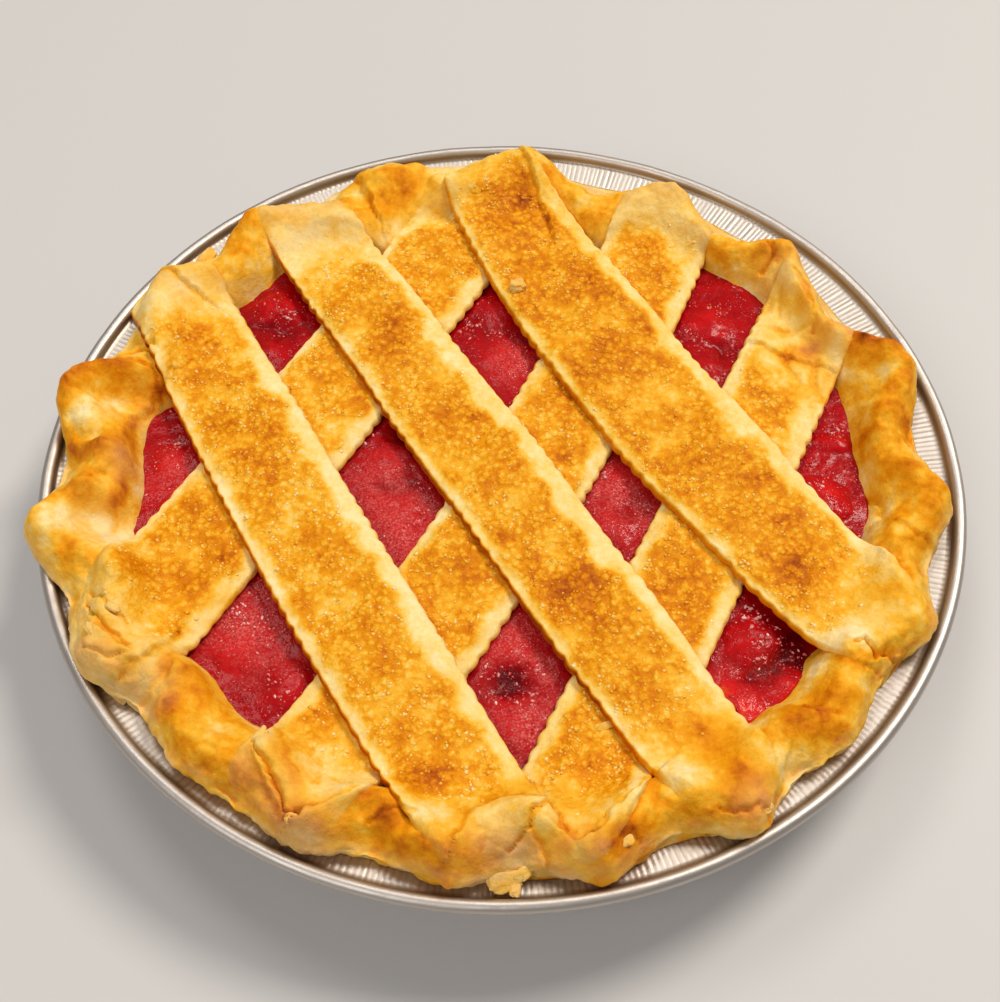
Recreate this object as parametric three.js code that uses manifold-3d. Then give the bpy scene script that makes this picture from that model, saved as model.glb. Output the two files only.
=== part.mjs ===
// Lattice-top cherry pie in a 9-inch foil tin.
// Millimetres, +Z up, origin at the centre of the tin's flat bottom.
import * as THREE from 'three';
import { mergeVertices } from 'three/addons/utils/BufferGeometryUtils.js';
import Module from 'manifold-3d';

// Foil tin
const TIN_RIM_DIAMETER = 244.5;
const TIN_WALL_TOP_DIAMETER = 220;
const TIN_BOTTOM_DIAMETER = 194;
const TIN_HEIGHT = 31.7;
const TIN_CORNER = 1.4;
const FOIL_THICKNESS = 0.6;
const BEAD_RADIUS = 1.7;
const BEAD_STEPS = 6;
const BEAD_START = 235;
const BEAD_END = 555;
const FLANGE_RISE = 1.4;
const TIN_SEGMENTS = 72;

// Crust: a shell that lines the tin and ends in a thick crimped rim
const CRUST_THICKNESS = 5.4;
const CRUST_CORNER = 3;
const RIM_FOOT_RADIUS = 96.5;
const RIM_FOOT_CREEP = 4.5;
const RIM_FOOT_UNDERCUT = 2.5;
const RIM_FOOT_DEPTH = 4;
const RIM_BULGE_HEIGHT = 4.2;
const RIM_UNDERSIDE_HEIGHT = 1.5;
const RIM_UNDERSIDE_SHARE = 0.6;
const RIM_BASE_SPREAD = 4.2;
const BEAD_CLEARANCE = 3;
const PINCH_REACH = 104.5;
const LOBE_REACH = 118.5;
const PINCH_CREST_HEIGHT = 6;
const LOBE_CREST_HEIGHT = 9.8;
const CREST_TILT = 0.8;
const CRUST_SEGMENTS = 120;
const CRIMP_SHARPNESS = 1.3;
// The rim's section from bulge to foot: share of its width, share of its height
const RIM_SHAPE = [
  [0.1, 0.82],
  [0.33, 1],
  [0.55, 0.9],
  [0.76, 0.5],
  [1, 0],
];
const CREST_POINT = 2;
// Each crimp: angle of the lobe, reach of the lobe, reach of the pinch after it
const CRIMPS = [
  [13, 118, 105],
  [40, 112.5, 104.6],
  [61, 111.5, 104.5],
  [86, 115.5, 112],
  [108, 115, 111],
  [131, 116.5, 111.5],
  [149, 117.5, 113],
  [171, 122.5, 116],
  [193, 124, 117],
  [213, 120.5, 113.5],
  [230, 116.4, 115.3],
  [247, 118, 113.8],
  [264, 117.7, 113.3],
  [281, 118.5, 111.8],
  [298, 120.2, 114],
  [314, 116.5, 112.5],
  [332, 118.4, 113],
  [350, 117.4, 110.4],
];

// Cherry filling, with cherries that stand out of it in the lattice windows
const FILLING_LEVEL = 27;
const FILLING_DOME = 0.6;
const FILLING_SEGMENTS = 60;
const CHERRY_SEGMENTS = 10;
const CHERRY_RINGS = 4;
// Each cherry: x, y, radius, height of its top above the filling
const CHERRIES = [
  [64, -60, 8.4, 3],
  [60, 48, 9, 2.4],
  [57, 35, 8, 1.8],
  [90, 6, 5, 1.6],
  [85, -13, 8, 2.4],
  [0, 54, 8.5, 2.4],
  [2, 36, 8.5, 2],
  [33, -6, 8.5, 2],
  [27, -21, 8, 2.2],
  [-30, 0, 8, 2.2],
  [-29, -18, 9, 2],
  [-65, 55, 8, 2.4],
  [-66, 40, 8, 2],
  [-89, 1, 6, 1.8],
  [-64, -54, 9, 2],
  [-54, -66, 8, 2.4],
  [2, -60, 9, 1.8],
  [1, -76, 8, 2],
];

// Lattice
const STRIP_THICKNESS = 3;
const STRIP_END_THICKNESS = 1.7;
const STRIP_TAPER = 14;
const STRIP_OVERHANG = 2.6;
const SCALLOP_PITCH = 5.6;
const SCALLOP_DEPTH = 0.9;
const STRIP_CELLS_ACROSS = 3;
const CELLS_PER_SCALLOP = 2;
const LOWER_STRIP_REST = 28.3;
const UPPER_STRIP_SAG = 1.1;
const SAG_SLOPE = 0.3;
const SUPPORT_MARGIN = 4.5;
const END_SEARCH_STEPS = 12;
const END_SEARCH_RATE = 0.8;
// Each strip: heading in degrees, offset and bow of its left and right edges from the centre,
// how far its far and near ends reach past the rim's crest, and how askew its far end is
const LOWER_STRIPS = [
  { heading: 59.5, left: [-68.7, 0], right: [-35.7, 0.4], far: -14, near: 0, skew: 0 },
  { heading: 62, left: [-8.4, 2.5], right: [22.4, 3], far: 0, near: 0, skew: 0 },
  { heading: 63.2, left: [44.1, 0], right: [71.8, 0.4], far: 0, near: 0, skew: 0 },
];
const UPPER_STRIPS = [
  { heading: 119.6, left: [-69.7, -1.6], right: [-40.7, 0], far: 0, near: 0, skew: -7 },
  { heading: 121.5, left: [-20, -0.5], right: [8.2, 1], far: -1.5, near: 0, skew: 0 },
  { heading: 121, left: [31, -5], right: [63.5, -0.5], far: -4, near: 0, skew: 5 },
];

const GAP = 0.4;
const DRAPE_GAP = 0.8;
const DRAPE_REACH = 4.5;
const DRAPE_DIRECTIONS = 8;

// Derived sizes
const BEAD_CENTRE = new THREE.Vector2(
  TIN_RIM_DIAMETER / 2 - BEAD_RADIUS,
  TIN_HEIGHT - BEAD_RADIUS,
);
const RIM_LEVEL = BEAD_CENTRE.y;
const WALL_TOP = new THREE.Vector2(
  TIN_WALL_TOP_DIAMETER / 2,
  RIM_LEVEL - BEAD_RADIUS - FLANGE_RISE + FOIL_THICKNESS,
);
const WALL_FOOT = new THREE.Vector2(TIN_BOTTOM_DIAMETER / 2, TIN_CORNER + FOIL_THICKNESS);
const FLANGE_EDGE = new THREE.Vector2(
  BEAD_CENTRE.x - BEAD_RADIUS - FOIL_THICKNESS / 2,
  WALL_TOP.y + FLANGE_RISE,
);
const TIN_FLOOR_RADIUS = WALL_FOOT.x - TIN_CORNER;
const CRUST_FLOOR = FOIL_THICKNESS + GAP + CRUST_THICKNESS;
const CRUST_INSIDE_RADIUS = WALL_FOOT.x - CRUST_THICKNESS;
const CRUST_FLOOR_RADIUS = CRUST_INSIDE_RADIUS - CRUST_CORNER;

const manifold = await Module();
manifold.setup();

function mix(a, b, share) {
  return a + (b - a) * share;
}

function radians(angle) {
  return THREE.MathUtils.degToRad(angle);
}

function ease(share) {
  return THREE.MathUtils.smoothstep(share, 0, 1);
}

// A closed solid turned about Z, whose profile may change with the angle.
// profileAt gives a list of Vector2 (radius, height) from axis to axis.
function turnedSolid(profileAt, segments) {
  const geometry = new THREE.LatheGeometry(profileAt(0), segments);
  const position = geometry.getAttribute('position');
  const count = profileAt(0).length;
  for (let turn = 0; turn <= segments; turn += 1) {
    const angle = ((turn % segments) * 2 * Math.PI) / segments;
    profileAt(angle).forEach((point, index) => {
      const x = point.x * Math.cos(angle);
      const y = point.x * Math.sin(angle);
      position.setXYZ(turn * count + index, x, y, point.y);
    });
  }
  geometry.computeVertexNormals();
  return geometry;
}

function toManifold(geometry) {
  const bare = new THREE.BufferGeometry();
  bare.setAttribute('position', geometry.getAttribute('position').clone());
  bare.setIndex(geometry.getIndex());
  const merged = mergeVertices(bare, 1e-3);
  return new manifold.Manifold(
    new manifold.Mesh({
      numProp: 3,
      vertProperties: merged.getAttribute('position').array,
      triVerts: new Uint32Array(merged.getIndex().array),
    }),
  );
}

function toGeometry(solid) {
  const mesh = solid.getMesh();
  const geometry = new THREE.BufferGeometry();
  geometry.setAttribute('position', new THREE.BufferAttribute(mesh.vertProperties, 3));
  geometry.setIndex(new THREE.BufferAttribute(mesh.triVerts, 1));
  geometry.computeVertexNormals();
  return geometry;
}

// ---- Foil tin ----

// Points of the rolled bead, from under the flange round the outside to above it.
function beadArc() {
  const points = [];
  for (let step = 0; step <= BEAD_STEPS; step += 1) {
    const angle = radians(mix(BEAD_START, BEAD_END, step / BEAD_STEPS));
    const x = BEAD_CENTRE.x + BEAD_RADIUS * Math.cos(angle);
    const y = BEAD_CENTRE.y + BEAD_RADIUS * Math.sin(angle);
    points.push(new THREE.Vector2(x, y));
  }
  return points;
}

function tinProfile() {
  const outward = new THREE.Vector2(FOIL_THICKNESS / 2, -FOIL_THICKNESS);
  return [
    new THREE.Vector2(0, 0),
    new THREE.Vector2(TIN_FLOOR_RADIUS, 0),
    WALL_FOOT.clone().add(outward),
    WALL_TOP.clone().add(outward),
    ...beadArc(),
    FLANGE_EDGE,
    WALL_TOP,
    WALL_FOOT,
    new THREE.Vector2(TIN_FLOOR_RADIUS, FOIL_THICKNESS),
    new THREE.Vector2(0, FOIL_THICKNESS),
  ];
}

// Height of the foil's flange at a radius.
function flangeHeight(radius) {
  const share = (radius - WALL_TOP.x) / (FLANGE_EDGE.x - WALL_TOP.x);
  return mix(WALL_TOP.y, FLANGE_EDGE.y, share);
}

// ---- Crust ----

// How far the crimped edge reaches from the middle of the tin at an angle.
function reachAt(angle) {
  const start = CRIMPS[0][0];
  const turn = (THREE.MathUtils.radToDeg(angle) + 720 - start) % 360;
  const index = CRIMPS.findLastIndex((crimp) => crimp[0] - start <= turn);
  const [lobeAngle, lobeReach, pinchReach] = CRIMPS[index];
  const next = CRIMPS[(index + 1) % CRIMPS.length];
  const share = (turn + start - lobeAngle) / ((next[0] + 360 - lobeAngle) % 360);
  const swell = Math.abs(2 * share - 1) ** CRIMP_SHARPNESS;
  return mix(pinchReach, share < 0.5 ? lobeReach : next[1], ease(swell));
}

// Share of a full lobe, 0 in the deepest pinch.
function lobeShare(reach) {
  return (reach - PINCH_REACH) / (LOBE_REACH - PINCH_REACH);
}

// Rim points at an angle, from the outer bulge over the crest to the filling.
function rimSection(angle) {
  const reach = reachAt(angle);
  const rise = mix(PINCH_CREST_HEIGHT, LOBE_CREST_HEIGHT, lobeShare(reach));
  const crest = RIM_LEVEL + rise + CREST_TILT * Math.sin(angle);
  const foot = RIM_FOOT_RADIUS - RIM_FOOT_CREEP * Math.max(0, Math.sin(angle)) ** 3;
  const shape = RIM_SHAPE.map(([inward, upward]) => {
    return new THREE.Vector2(mix(reach, foot, inward), mix(FILLING_LEVEL, crest, upward));
  });
  return [new THREE.Vector2(reach, RIM_LEVEL + RIM_BULGE_HEIGHT), ...shape];
}

function crustProfile(angle) {
  const rim = rimSection(angle);
  const reach = rim[0].x;
  const lobe = THREE.MathUtils.clamp(lobeShare(reach), 0, 1);
  const base = WALL_TOP.x + GAP + RIM_BASE_SPREAD * lobe;
  const under = Math.min(mix(base, reach, RIM_UNDERSIDE_SHARE), BEAD_CENTRE.x - BEAD_CLEARANCE);
  return [
    new THREE.Vector2(0, FOIL_THICKNESS + GAP),
    new THREE.Vector2(TIN_FLOOR_RADIUS - GAP, FOIL_THICKNESS + GAP),
    new THREE.Vector2(WALL_FOOT.x - GAP, WALL_FOOT.y + GAP),
    new THREE.Vector2(WALL_TOP.x - GAP, WALL_TOP.y + GAP),
    new THREE.Vector2(base, flangeHeight(base) + GAP),
    new THREE.Vector2(under, RIM_LEVEL + RIM_UNDERSIDE_HEIGHT),
    ...rim,
    new THREE.Vector2(rim.at(-1).x - RIM_FOOT_UNDERCUT, FILLING_LEVEL - RIM_FOOT_DEPTH),
    new THREE.Vector2(CRUST_INSIDE_RADIUS, CRUST_FLOOR + CRUST_CORNER),
    new THREE.Vector2(CRUST_FLOOR_RADIUS, CRUST_FLOOR),
    new THREE.Vector2(0, CRUST_FLOOR),
  ];
}

// Height of the crust's upper surface at a point of the plan, or -Infinity inside the rim.
function crustTop(x, y) {
  const radius = Math.hypot(x, y);
  const rim = rimSection(Math.atan2(y, x));
  if (radius < rim.at(-1).x) {
    return -Infinity;
  }
  const index = rim.findIndex((point) => point.x <= radius);
  if (index < CREST_POINT) {
    return rim[CREST_POINT - 1].y;
  }
  const inner = rim[index];
  const outer = rim[index - 1];
  return mix(inner.y, outer.y, (radius - inner.x) / (outer.x - inner.x));
}

// ---- Filling ----

function fillingProfile(angle) {
  const halfCell = Math.PI / FILLING_SEGMENTS;
  const feet = [-halfCell, 0, halfCell].map((turn) => rimSection(angle + turn).at(-1).x);
  const edge = Math.min(...feet) - GAP;
  return [
    new THREE.Vector2(0, CRUST_FLOOR + GAP),
    new THREE.Vector2(CRUST_FLOOR_RADIUS - GAP, CRUST_FLOOR + GAP),
    new THREE.Vector2(CRUST_INSIDE_RADIUS - 2 * GAP, CRUST_FLOOR + CRUST_CORNER + GAP),
    new THREE.Vector2(edge - RIM_FOOT_UNDERCUT, FILLING_LEVEL - RIM_FOOT_DEPTH),
    new THREE.Vector2(edge, FILLING_LEVEL),
    new THREE.Vector2(edge / 2, FILLING_LEVEL + FILLING_DOME),
    new THREE.Vector2(0, FILLING_LEVEL + FILLING_DOME),
  ];
}

function cherryGeometry([x, y, radius, rise]) {
  const geometry = new THREE.SphereGeometry(1, CHERRY_SEGMENTS, CHERRY_RINGS);
  geometry.rotateX(Math.PI / 2);
  geometry.scale(radius, radius, rise);
  geometry.translate(x, y, FILLING_LEVEL);
  return geometry;
}

function fillingGeometry() {
  const bed = toManifold(turnedSolid(fillingProfile, FILLING_SEGMENTS));
  const add = (solid, cherry) => solid.add(toManifold(cherryGeometry(cherry)));
  return toGeometry(CHERRIES.reduce(add, bed));
}

// ---- Lattice ----

// Plan frame of a strip: its direction and the normal that its offsets are measured along.
function stripAxes(strip) {
  const heading = radians(strip.heading);
  const along = new THREE.Vector2(Math.cos(heading), Math.sin(heading));
  const across = new THREE.Vector2(along.y, -along.x);
  return { along, across };
}

// Offset of a strip's edge from the centre where the strip has run so far.
function edgeOffset([offset, bow], run) {
  return offset + bow * (1 - 2 * (run / RIM_FOOT_RADIUS) ** 2);
}

// Plan point of a strip: side is -1 on its left edge and 1 on its right edge.
function stripPlan(strip, side, run) {
  const { along, across } = stripAxes(strip);
  const left = edgeOffset(strip.left, run);
  const right = edgeOffset(strip.right, run);
  const scallop = Math.abs(Math.sin((Math.PI * run) / SCALLOP_PITCH)) - 0.5;
  const shift = mix(left, right, (side + 1) / 2) + side * SCALLOP_DEPTH * scallop;
  return new THREE.Vector2().addScaledVector(along, run).addScaledVector(across, shift);
}

// How far a strip runs from its middle, at one side of it, before it ends on the rim.
function stripEnd(strip, side, direction) {
  const extra = direction > 0 ? strip.far + side * strip.skew : strip.near;
  let run = direction * RIM_FOOT_RADIUS;
  for (let step = 0; step < END_SEARCH_STEPS; step += 1) {
    const point = stripPlan(strip, side, run);
    const crest = rimSection(Math.atan2(point.y, point.x))[CREST_POINT].x;
    const short = crest + STRIP_OVERHANG + extra - point.length();
    run += direction * END_SEARCH_RATE * short;
  }
  return run;
}

// Distance of a plan point outside a strip's edges, negative within them.
function outsideStrip(strip, x, y) {
  const { along, across } = stripAxes(strip);
  const point = new THREE.Vector2(x, y);
  const run = point.dot(along);
  const shift = point.dot(across);
  const left = edgeOffset(strip.left, run) - shift;
  const right = shift - edgeOffset(strip.right, run);
  return Math.max(left, right) - SCALLOP_DEPTH / 2;
}

// Highest part of the crust within the drape reach of a point.
function crustTopNear(x, y) {
  let highest = crustTop(x, y);
  for (let step = 0; step < DRAPE_DIRECTIONS; step += 1) {
    const angle = (step * 2 * Math.PI) / DRAPE_DIRECTIONS;
    const dx = DRAPE_REACH * Math.cos(angle);
    const dy = DRAPE_REACH * Math.sin(angle);
    const ring = Math.max(crustTop(x + dx, y + dy), crustTop(x + dx / 2, y + dy / 2));
    highest = Math.max(highest, ring);
  }
  return highest;
}

function lowerUnderside(x, y) {
  return Math.max(LOWER_STRIP_REST, crustTopNear(x, y) + DRAPE_GAP);
}

// Height that the lower strips hold an upper strip at, falling away beside them.
function lowerSupport(x, y) {
  const nearest = Math.min(...LOWER_STRIPS.map((strip) => outsideStrip(strip, x, y)));
  const fall = SAG_SLOPE * Math.max(0, nearest - SUPPORT_MARGIN);
  return lowerUnderside(x, y) + STRIP_THICKNESS - fall;
}

function upperUnderside(x, y) {
  const rest = LOWER_STRIP_REST + STRIP_THICKNESS - UPPER_STRIP_SAG;
  return Math.max(rest, lowerSupport(x, y), crustTopNear(x, y)) + DRAPE_GAP;
}

function stripGeometry(strip, underside) {
  const length = stripEnd(strip, 0, 1) - stripEnd(strip, 0, -1);
  const cellsAlong = Math.round(length / SCALLOP_PITCH) * CELLS_PER_SCALLOP;
  const geometry = new THREE.BoxGeometry(2, 1, 1, STRIP_CELLS_ACROSS, cellsAlong, 1);
  const position = geometry.getAttribute('position');
  for (let index = 0; index < position.count; index += 1) {
    const side = position.getX(index);
    const share = position.getY(index) + 0.5;
    const run = mix(stripEnd(strip, side, -1), stripEnd(strip, side, 1), share);
    const point = stripPlan(strip, side, run);
    const toEnd = Math.min(share, 1 - share) * length;
    const thickness = mix(STRIP_END_THICKNESS, STRIP_THICKNESS, ease(toEnd / STRIP_TAPER));
    const height = underside(point.x, point.y) + (position.getZ(index) > 0 ? thickness : 0);
    position.setXYZ(index, point.x, point.y, height);
  }
  geometry.computeVertexNormals();
  return geometry;
}

// ---- Assembly ----

const foil = new THREE.MeshStandardMaterial({ color: 0xd9d6d2, roughness: 0.3, metalness: 1 });
const bakedDough = new THREE.MeshStandardMaterial({ color: 0xe6b05c, roughness: 0.6, metalness: 0 });
const sugaredDough = new THREE.MeshStandardMaterial({ color: 0xdb9a3c, roughness: 0.5, metalness: 0 });
const cherryJam = new THREE.MeshStandardMaterial({ color: 0xa3131f, roughness: 0.15, metalness: 0 });

function part(name, geometry, material) {
  const mesh = new THREE.Mesh(geometry, material);
  mesh.name = name;
  return mesh;
}

const lattice = new THREE.Group();
LOWER_STRIPS.forEach((strip, index) => {
  const geometry = stripGeometry(strip, lowerUnderside);
  lattice.add(part(`lower_strip_${index + 1}`, geometry, sugaredDough));
});
UPPER_STRIPS.forEach((strip, index) => {
  const geometry = stripGeometry(strip, upperUnderside);
  lattice.add(part(`upper_strip_${index + 1}`, geometry, sugaredDough));
});

const pie = new THREE.Group();
pie.add(part('crust', turnedSolid(crustProfile, CRUST_SEGMENTS), bakedDough));
pie.add(part('filling', fillingGeometry(), cherryJam));
pie.add(lattice);

const pieInTin = new THREE.Group();
pieInTin.add(part('tin', turnedSolid(tinProfile, TIN_SEGMENTS), foil));
pieInTin.add(pie);

export default pieInTin;
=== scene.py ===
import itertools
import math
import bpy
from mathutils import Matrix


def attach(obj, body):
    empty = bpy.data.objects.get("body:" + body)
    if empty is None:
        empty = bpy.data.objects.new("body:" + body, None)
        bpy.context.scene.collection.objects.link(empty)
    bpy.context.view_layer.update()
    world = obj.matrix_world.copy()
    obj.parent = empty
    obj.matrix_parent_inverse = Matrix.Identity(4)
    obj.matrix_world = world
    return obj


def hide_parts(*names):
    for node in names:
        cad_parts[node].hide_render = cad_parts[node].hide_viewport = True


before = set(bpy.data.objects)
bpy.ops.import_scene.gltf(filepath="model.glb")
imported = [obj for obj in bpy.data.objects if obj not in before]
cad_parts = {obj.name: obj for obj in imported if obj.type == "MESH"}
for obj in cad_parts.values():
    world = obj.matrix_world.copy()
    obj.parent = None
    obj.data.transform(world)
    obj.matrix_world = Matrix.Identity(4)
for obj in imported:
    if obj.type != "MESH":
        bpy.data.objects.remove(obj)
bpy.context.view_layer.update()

# Lattice-top cherry pie in a 9-inch foil tin.
# Sizes are millimetres in the part's frame until a mesh is made, which is in metres.
from types import SimpleNamespace

import bpy
import numpy as np
from mathutils import Matrix, Vector

MM = 0.001

# Foil tin
TIN_RIM_DIAMETER = 244.3
TIN_WALL_TOP_RADIUS = 110
TIN_BOTTOM_RADIUS = 97
TIN_HEIGHT = 31.7
TIN_CORNER = 1.4
FOIL_THICKNESS = 0.6
BEAD_RADIUS = 1.7
FLANGE_RISE = 1.4
PLEATS = 480
PLEAT_STEPS = 4
PLEAT_DEPTH = 0.18
WALL_STEPS = 8
FLANGE_STEPS = 7
BEAD_STEPS = 17
BEAD_ARC = (235, 555)
TIN_FLOOR_RINGS = (30, 70)
PLEAT_WAVER = 1.2
PLEAT_ROUNDNESS = 0.7
RIM_LEVEL = TIN_HEIGHT - BEAD_RADIUS
BEAD_CENTRE_RADIUS = TIN_RIM_DIAMETER / 2 - BEAD_RADIUS
WALL_TOP_HEIGHT = RIM_LEVEL - BEAD_RADIUS - FLANGE_RISE + FOIL_THICKNESS
FLANGE_EDGE_RADIUS = BEAD_CENTRE_RADIUS - BEAD_RADIUS - FOIL_THICKNESS / 2

# Crust
GAP = 0.4
CRUST_THICKNESS = 5.4
RIM_FOOT_RADIUS = 96.5
RIM_FOOT_CREEP = 4.5
# Where the rim creeps further in over the filling, or back out: angle, half angle, distance
RIM_CREEPS = [(112.5, 8, 9.5), (70, 7, 9), (164.5, 5, 5.5), (179, 7, -1.8)]
RIM_FOOT_WAVE = 3.4
RIM_BASE_SPREAD = 4.2
RIM_BASE_SLOPE = 0.165
INNER_CORNER = 3
CRUST_CORNER_HEIGHT = 2.4
CRUST_FLOOR_RINGS = (20, 60)
CRUST_INNER_RINGS = (50, 20)
SKIRT_DROP = 4
CRUST_SKIRT = 2.5
PINCH_REACH = 104.5
LOBE_REACH = 118.5
PINCH_CREST_HEIGHT = 6
LOBE_CREST_HEIGHT = 9.8
CREST_TILT = 0.8
CRIMP_SHARPNESS = 1.3
CREASE_SHARPNESS = 0.35
# Crimps: angle of a lobe in degrees, its reach, reach of the pinch after it, how deeply it is folded
CRIMPS = np.array([
    [13, 118, 105, 0.4], [40, 112.5, 104.6, 0.6], [61, 111.5, 104.5, 0.5], [86, 115.5, 112, 0.6],
    [108, 115, 111, 0.6], [131, 116.5, 111.5, 0.6], [149, 117.5, 113, 0.6], [171, 122.5, 116, 1.0],
    [193, 124, 117, 0.9], [213, 120.5, 113.5, 0.8], [230, 116.4, 115.3, 0.5], [247, 118, 113.8, 0.6],
    [264, 117.7, 113.3, 0.4], [281, 118.5, 111.8, 0.5], [298, 120.2, 114, 0.5], [314, 116.5, 112.5, 0.4],
    [332, 118.4, 113, 0.5], [350, 117.4, 110.4, 0.4],
])
# Rim's section: share of its width from bulge to foot, share of its height where it is plump,
# on a folded lobe and in a folded pinch
RIM_SHAPE = [
    (0, 0.56, 0.6, 0.34), (0.1, 0.8, 0.86, 0.48), (0.24, 0.97, 1, 0.6), (0.42, 1, 0.88, 0.8),
    (0.62, 0.88, 0.44, 1), (0.82, 0.56, 0.16, 0.74), (1, 0, 0, 0),
]
CREST_SHARE = 0.33
# Relief of the dough: sizes and heights of its swells, lumps and small lumps, and of the rim's lumps,
# the size of the rim's wrinkles, how far they are drawn out and the depth of a pinch's crease
SWELL_SIZE, SWELL_HEIGHT = 13, 0.5
LUMP_SIZE, LUMP_HEIGHT = 5.5, 0.34
ROUGH_SIZE, ROUGH_RISE = 6, 0.7
RIM_LUMP_SIZE, RIM_LUMP_HEIGHT = 9, 1.2
WRINKLE_SIZE, WRINKLE_STRETCH = 3.4, 4
PINCH_CREASE_DEPTH = 2.0
# How cracks and folds wander: size and distance of the noise, its seed
DOUGH_WARP = [(3.5, 0.9, 5), (1.4, 0.45, 15)]
CRUST_TURNS = 1260
RIM_TOP_STEPS = 48
RIM_UNDER_STEPS = 12

# Filling
FILLING_LEVEL = 27
FILLING_DOME = 0.6
CHERRY_BLEND = 0.9
JUICE_SINK = 0.7
# How the cherries' outlines wander: size and distance of the noise, its seed
CHERRY_WARP = [(6, 1.8, 101)]
RIPPLE_SIZE, RIPPLE_HEIGHT = 8, 0.22
# How far the filling reaches in under the rim's foot, and how far in its side starts lower down
FILLING_TUCK = 0.6
FILLING_SKIRT = 3
FILLING_MIDDLE = 0.012
FILLING_FLOOR_RING = 30
FILLING_TURNS = 740
FILLING_RINGS = 130

# Lattice
STRIP_THICKNESS = 3.0
STRIP_OVERHANG = 6.0
SCALLOP_PITCH = 4.6
SCALLOP_DEPTH = 0.75
LOWER_STRIP_REST = 28.3
UPPER_STRIP_REST = 30.6
LOWER_DRAPE = 2.4
UPPER_DRAPE = 3.0
UPPER_CLOSE_DRAPE = 1.3
END_SEARCH_STEPS = 12
LOWER_STRIPS = [
    dict(heading=59.5, left=(-68.7, 0), right=(-35.7, 0.4), far=-14, skew=0),
    dict(heading=62, left=(-8.4, 2.5), right=(22.4, 3), far=0, skew=0),
    dict(heading=63.2, left=(44.1, 0), right=(71.8, 0.4), far=0, skew=0),
]
UPPER_STRIPS = [
    dict(heading=119.6, left=(-69.7, -1.6), right=(-40.7, 0), far=0, skew=-7),
    dict(heading=121.5, left=(-20, -0.5), right=(8.2, 1), far=-1.5, skew=0),
    dict(heading=121, left=(31, -5), right=(63.5, -0.5), far=-4, skew=5),
]
STRIP_STEP = 0.5
STRIP_ACROSS = 60
STRIP_UNDER = 10
EDGE_ROUND = 1.0
EDGE_TAPER = 4.5
EDGE_CROWDING = 1.35
END_CROWDING = 0.35
SCALLOP_REACH = 1.6
CORNER_SHARE = 0.38
TAPER_LENGTH = 14
MERGE_LENGTH = 15
MERGE_RISE = 0.45
MERGED_THICKNESS = 1.4
MERGED_EDGE_DROP = 1.3
SUGAR_RISE = 0.4
BARE_TONE = 0.1
SUGARED_TONE = 0.37
# How each strip looks. Near is the front end and far the back end. Corners are rounded, ends ragged and
# thick by millimetres, merge is how far an end is pressed into the rim, bare is how much of it has no
# sugar and torn how matte it is. curl is how far the left edge lifts, edge_share how thick the edges are,
# edge_brown_and_shade how dark the left edge is, baked brown and painted shade, and spots are brown or pale
# places (x, y, radius, strength)
PLAIN_LOOK = dict(near_corner=3, far_corner=4, near_ragged=0.7, far_ragged=0.7, near_thick=0.9,
                  far_thick=1.4, near_merge=1, far_merge=0.4, curl=0, edge_share=0.6, edge_brown_and_shade=0.15,
                  left_margin=3.0, right_margin=3.6, near_bare=10, far_bare=10, near_torn=0.2,
                  far_torn=0.2, spots=[])
LOWER_LOOKS = [
    dict(PLAIN_LOOK, near_corner=7, near_ragged=1.2, near_bare=17, near_torn=0.35, far_merge=0.9,
         far_bare=7,
         spots=[(-78, -40, 8, 0.14), (-70, -30, 5, 0.14), (-92, -40, 6, 0.08), (-68, -46, 5, 0.1)]),
    dict(PLAIN_LOOK, near_ragged=1.2, near_bare=22, near_torn=0.25, far_bare=17, far_torn=0.45,
         far_merge=0.5,
         spots=[(-49, -87, 3.5, 0.3), (-46, -93, 3, 0.25), (42, 80, 6, 0.1), (-40, -78, 6, 0.1),
                (12, 22, 8, 0.08), (-14, -38, 12, 0.06), (-42, -86, 4, -0.12), (-36, -90, 4, -0.1),
                (-40, -97, 4, -0.12)]),
    dict(PLAIN_LOOK, near_ragged=1.0, near_bare=16, near_torn=0.25, far_thick=1.8, far_bare=34,
         far_torn=0.3, far_merge=0.85,
         spots=[(16, -99, 6, 0.2), (34, -86, 6, 0.2), (79, 52, 6, 0.12), (87, 34, 3.5, 0.5),
                (80, 33, 3, 0.45), (90, 28, 3, 0.16), (84, 30, 6, 0.12), (86, 48, 3.5, 0.3),
                (90, 40, 4, 0.32), (80, 42, 2.5, 0.24), (44, -38, 10, 0.05)]),
]
# Upper strips' left edges are darkened with painted shade, as if lit from the right.
UPPER_LOOK = dict(PLAIN_LOOK, edge_share=0.72, edge_brown_and_shade=0.75, curl=0.5)
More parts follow.
